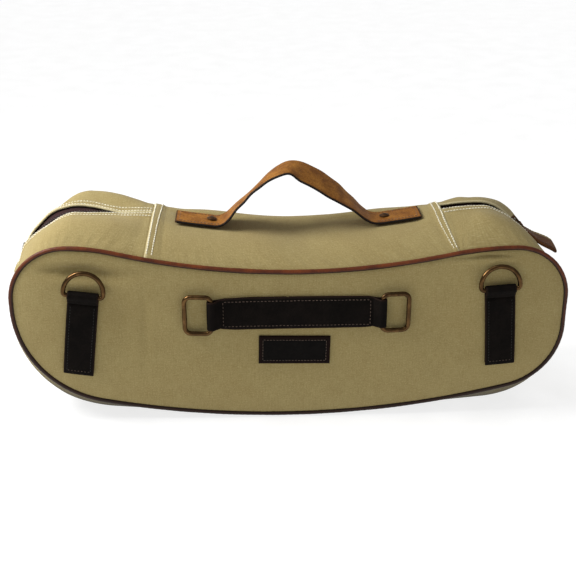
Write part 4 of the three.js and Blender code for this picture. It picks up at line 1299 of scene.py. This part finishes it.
def right_pull():
    """The right zip's pull, a wire link and a leather tab, drawn along it, across it and out of its face."""
    x, z, radius = CROWN["right"][:3]
    a, t = math.radians(RIGHT_SLIDER_ANGLE), math.radians(RIGHT_PULL_ANGLE)
    reach = radius + BAIL_RISE
    pivot = np.array([x + reach * math.cos(a), 0, z + reach * math.sin(a)])
    axes = np.array([[math.cos(t), 0, math.sin(t)], [0, 1, 0], [-math.sin(t), 0, math.cos(t)]])
    place = lambda *parts: pivot + stack(*parts) @ axes
    loop = resample(rounded_box((0, -LINK_HALF), (LINK_LENGTH, LINK_HALF), LINK_CORNER, 7), 81)[:-1]
    tube("right_pull_wire", place(loop[:, 0], loop[:, 1], 0), axes[2], LINK_WIRE, brass, 10,
         body="right_pull", replaces=["right_zip_pull_link"], slot="antique_brass")

    u = np.linspace(0, 1, 34)
    half = TAB_ROOT_HALF + (TAB_END_HALF - TAB_ROOT_HALF) * np.minimum(1, u * 1.6) ** 0.7
    share = mirrored(0.5, 0.8, 0.9, 0.97, 1)
    x = TAB_ROOT + (TAB_END - TAB_ROOT) * u
    curl = smooth(u, 0.3, 1) + 0.3 * ripple(x, 0, 24, 51)
    fold = 0.9 * bell(u, 0.03, 0.06)[:, None]
    y2 = share * half[:, None]
    x2 = x[:, None] + 0 * y2
    thick = TAB_HALF_THICKNESS - 0.15 - 0.35 * np.abs(share) ** 20
    middle = curl[:, None] * (1 - share**2) * 0.5 - tab_drop(x2, y2)
    edge = np.tile(smooth(share, 0.5, 0.75), (len(x), 1))  # painted highlight: the far edge is pale, where its top catches the light
    outer, inner = place(x2, y2, middle + thick + fold), place(x2, y2, middle - thick - fold * 0.5)
    sheet("right_pull_leather", outer, inner, leather["tab_leather_painted_light"], stack(x2, y2), edge, body="right_pull",
          replaces=["right_zip_pull_tab"], slot="tan_leather")
    rows = Stitching()
    keep = (u > 0.2) & (u < 0.93)
    for sign in (-1, 1):
        y = sign * (half - TAB_ROW)
        line = place(x, y, TAB_HALF_THICKNESS + curl * 0.3 - tab_drop(x, y))
        rows.row(line[keep], axes[2], 3.2, 401 + sign)
    rows.build("right_pull_stitches", 2.2, 0.34, dark_thread, body="right_pull")


right_pull()

# ---------------------------------------------------------------- CAD pieces that stay, with finer edges
KEPT = {
    "right_zip_slider": (rivet_brass, 0.25),
    "left_zip_slider": (rivet_brass, 0.25),
    "left_zip_pull": (brass, 0.3),
    "right_zip_inner_stop": (brass, 0.2),
    "right_zip_outer_stop": (brass, 0.2),
    "left_zip_inner_stop": (brass, 0.2),
    "left_zip_outer_stop": (brass, 0.2),
    "left_rivet_burr": (rivet_brass, 0.2),
    "right_rivet_burr": (rivet_brass, 0.2),
    "left_handle_backing": (leather["dark_leather"], 0.3),
    "right_handle_backing": (leather["dark_leather"], 0.3),
    "front_seam_binding": (binding, 0),
    "back_seam_binding": (binding, 0),
}
for node_name, (finish, bevel) in KEPT.items():
    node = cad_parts[node_name]
    node.data.materials.clear()
    node.data.materials.append(finish)
    if bevel:
        modifier = node.modifiers.new("edges", "BEVEL")
        modifier.width = bevel * MM
        modifier.segments = 2
        modifier.limit_method = "ANGLE"
        modifier.angle_limit = math.radians(35)

# ---------------------------------------------------------------- floor, light and camera
scene = bpy.context.scene
scene.view_settings.view_transform = "Standard"


def floor():
    """A pale sweep that runs on past the camera's view."""
    f = Finish("pale_floor")
    grain = f.noise(f.coordinates(), 60, 3)
    colour = f.layers(rgb((150, 150, 149)), (f.span(grain, 0.3, 0.7, 0, 1), rgb((153, 153, 153))))
    f.bump(grain, 0.2, 0.2)
    glow = f.span(grain, 0.3, 0.7, 0.76, 0.8)  # a light table: hardly any shadow
    roughness = f.span(grain, 0.3, 0.7, 0.75, 0.85)
    material = f.finish(colour, roughness, Emission_Strength=glow, Emission_Color=(1, 1, 1, 1))
    reach = 90000
    corners = [(-reach, -reach, -0.6), (reach, -reach, -0.6), (reach, reach, -0.6), (-reach, reach, -0.6)]
    piece = make("floor", corners, [(0, 1, 2, 3)], material, body=None)


def lamp(name, place, aim, size, watts):
    data = bpy.data.lights.new(name, "AREA")
    data.shape = "DISK"
    data.size = size
    data.energy = watts
    light = bpy.data.objects.new(name, data)
    scene.collection.objects.link(light)
    light.location = place
    light.rotation_euler = (Vector(place) - Vector(aim)).to_track_quat("Z", "Y").to_euler()


floor()
sun_data = bpy.data.lights.new("sky_panel", "SUN")
sun_data.energy = 0.5
sun_data.angle = math.radians(38)
sun_data.color = (1, 0.985, 0.95)
sun = bpy.data.objects.new("sky_panel", sun_data)
scene.collection.objects.link(sun)
sun.rotation_euler = Vector((-0.42, 0.06, 0.9)).to_track_quat("Z", "Y").to_euler()
lamp("left_panel", (-0.72, -0.06, 0.74), (-0.15, 0, 0.15), 0.5, 10)
world = bpy.data.worlds.new("studio")
world.use_nodes = True
world.node_tree.nodes["Background"].inputs["Color"].default_value = (0.97, 0.98, 1, 1)
world.node_tree.nodes["Background"].inputs["Strength"].default_value = 0.44
scene.world = world

azimuth, elevation = math.radians(CAMERA_AZIMUTH), math.radians(CAMERA_ELEVATION)
backward = Vector((
    math.sin(azimuth) * math.cos(elevation),
    -math.cos(azimuth) * math.cos(elevation),
    math.sin(elevation),
))
camera_data = bpy.data.cameras.new("camera")
camera_data.lens = CAMERA_LENS
camera_data.sensor_width = 36
camera_data.clip_end = 100
camera = bpy.data.objects.new("camera", camera_data)
scene.collection.objects.link(camera)
camera.location = Vector(CAMERA_AIM) * MM + backward * CAMERA_DISTANCE * MM
camera.rotation_euler = backward.to_track_quat("Z", "Y").to_euler()
scene.camera = camera
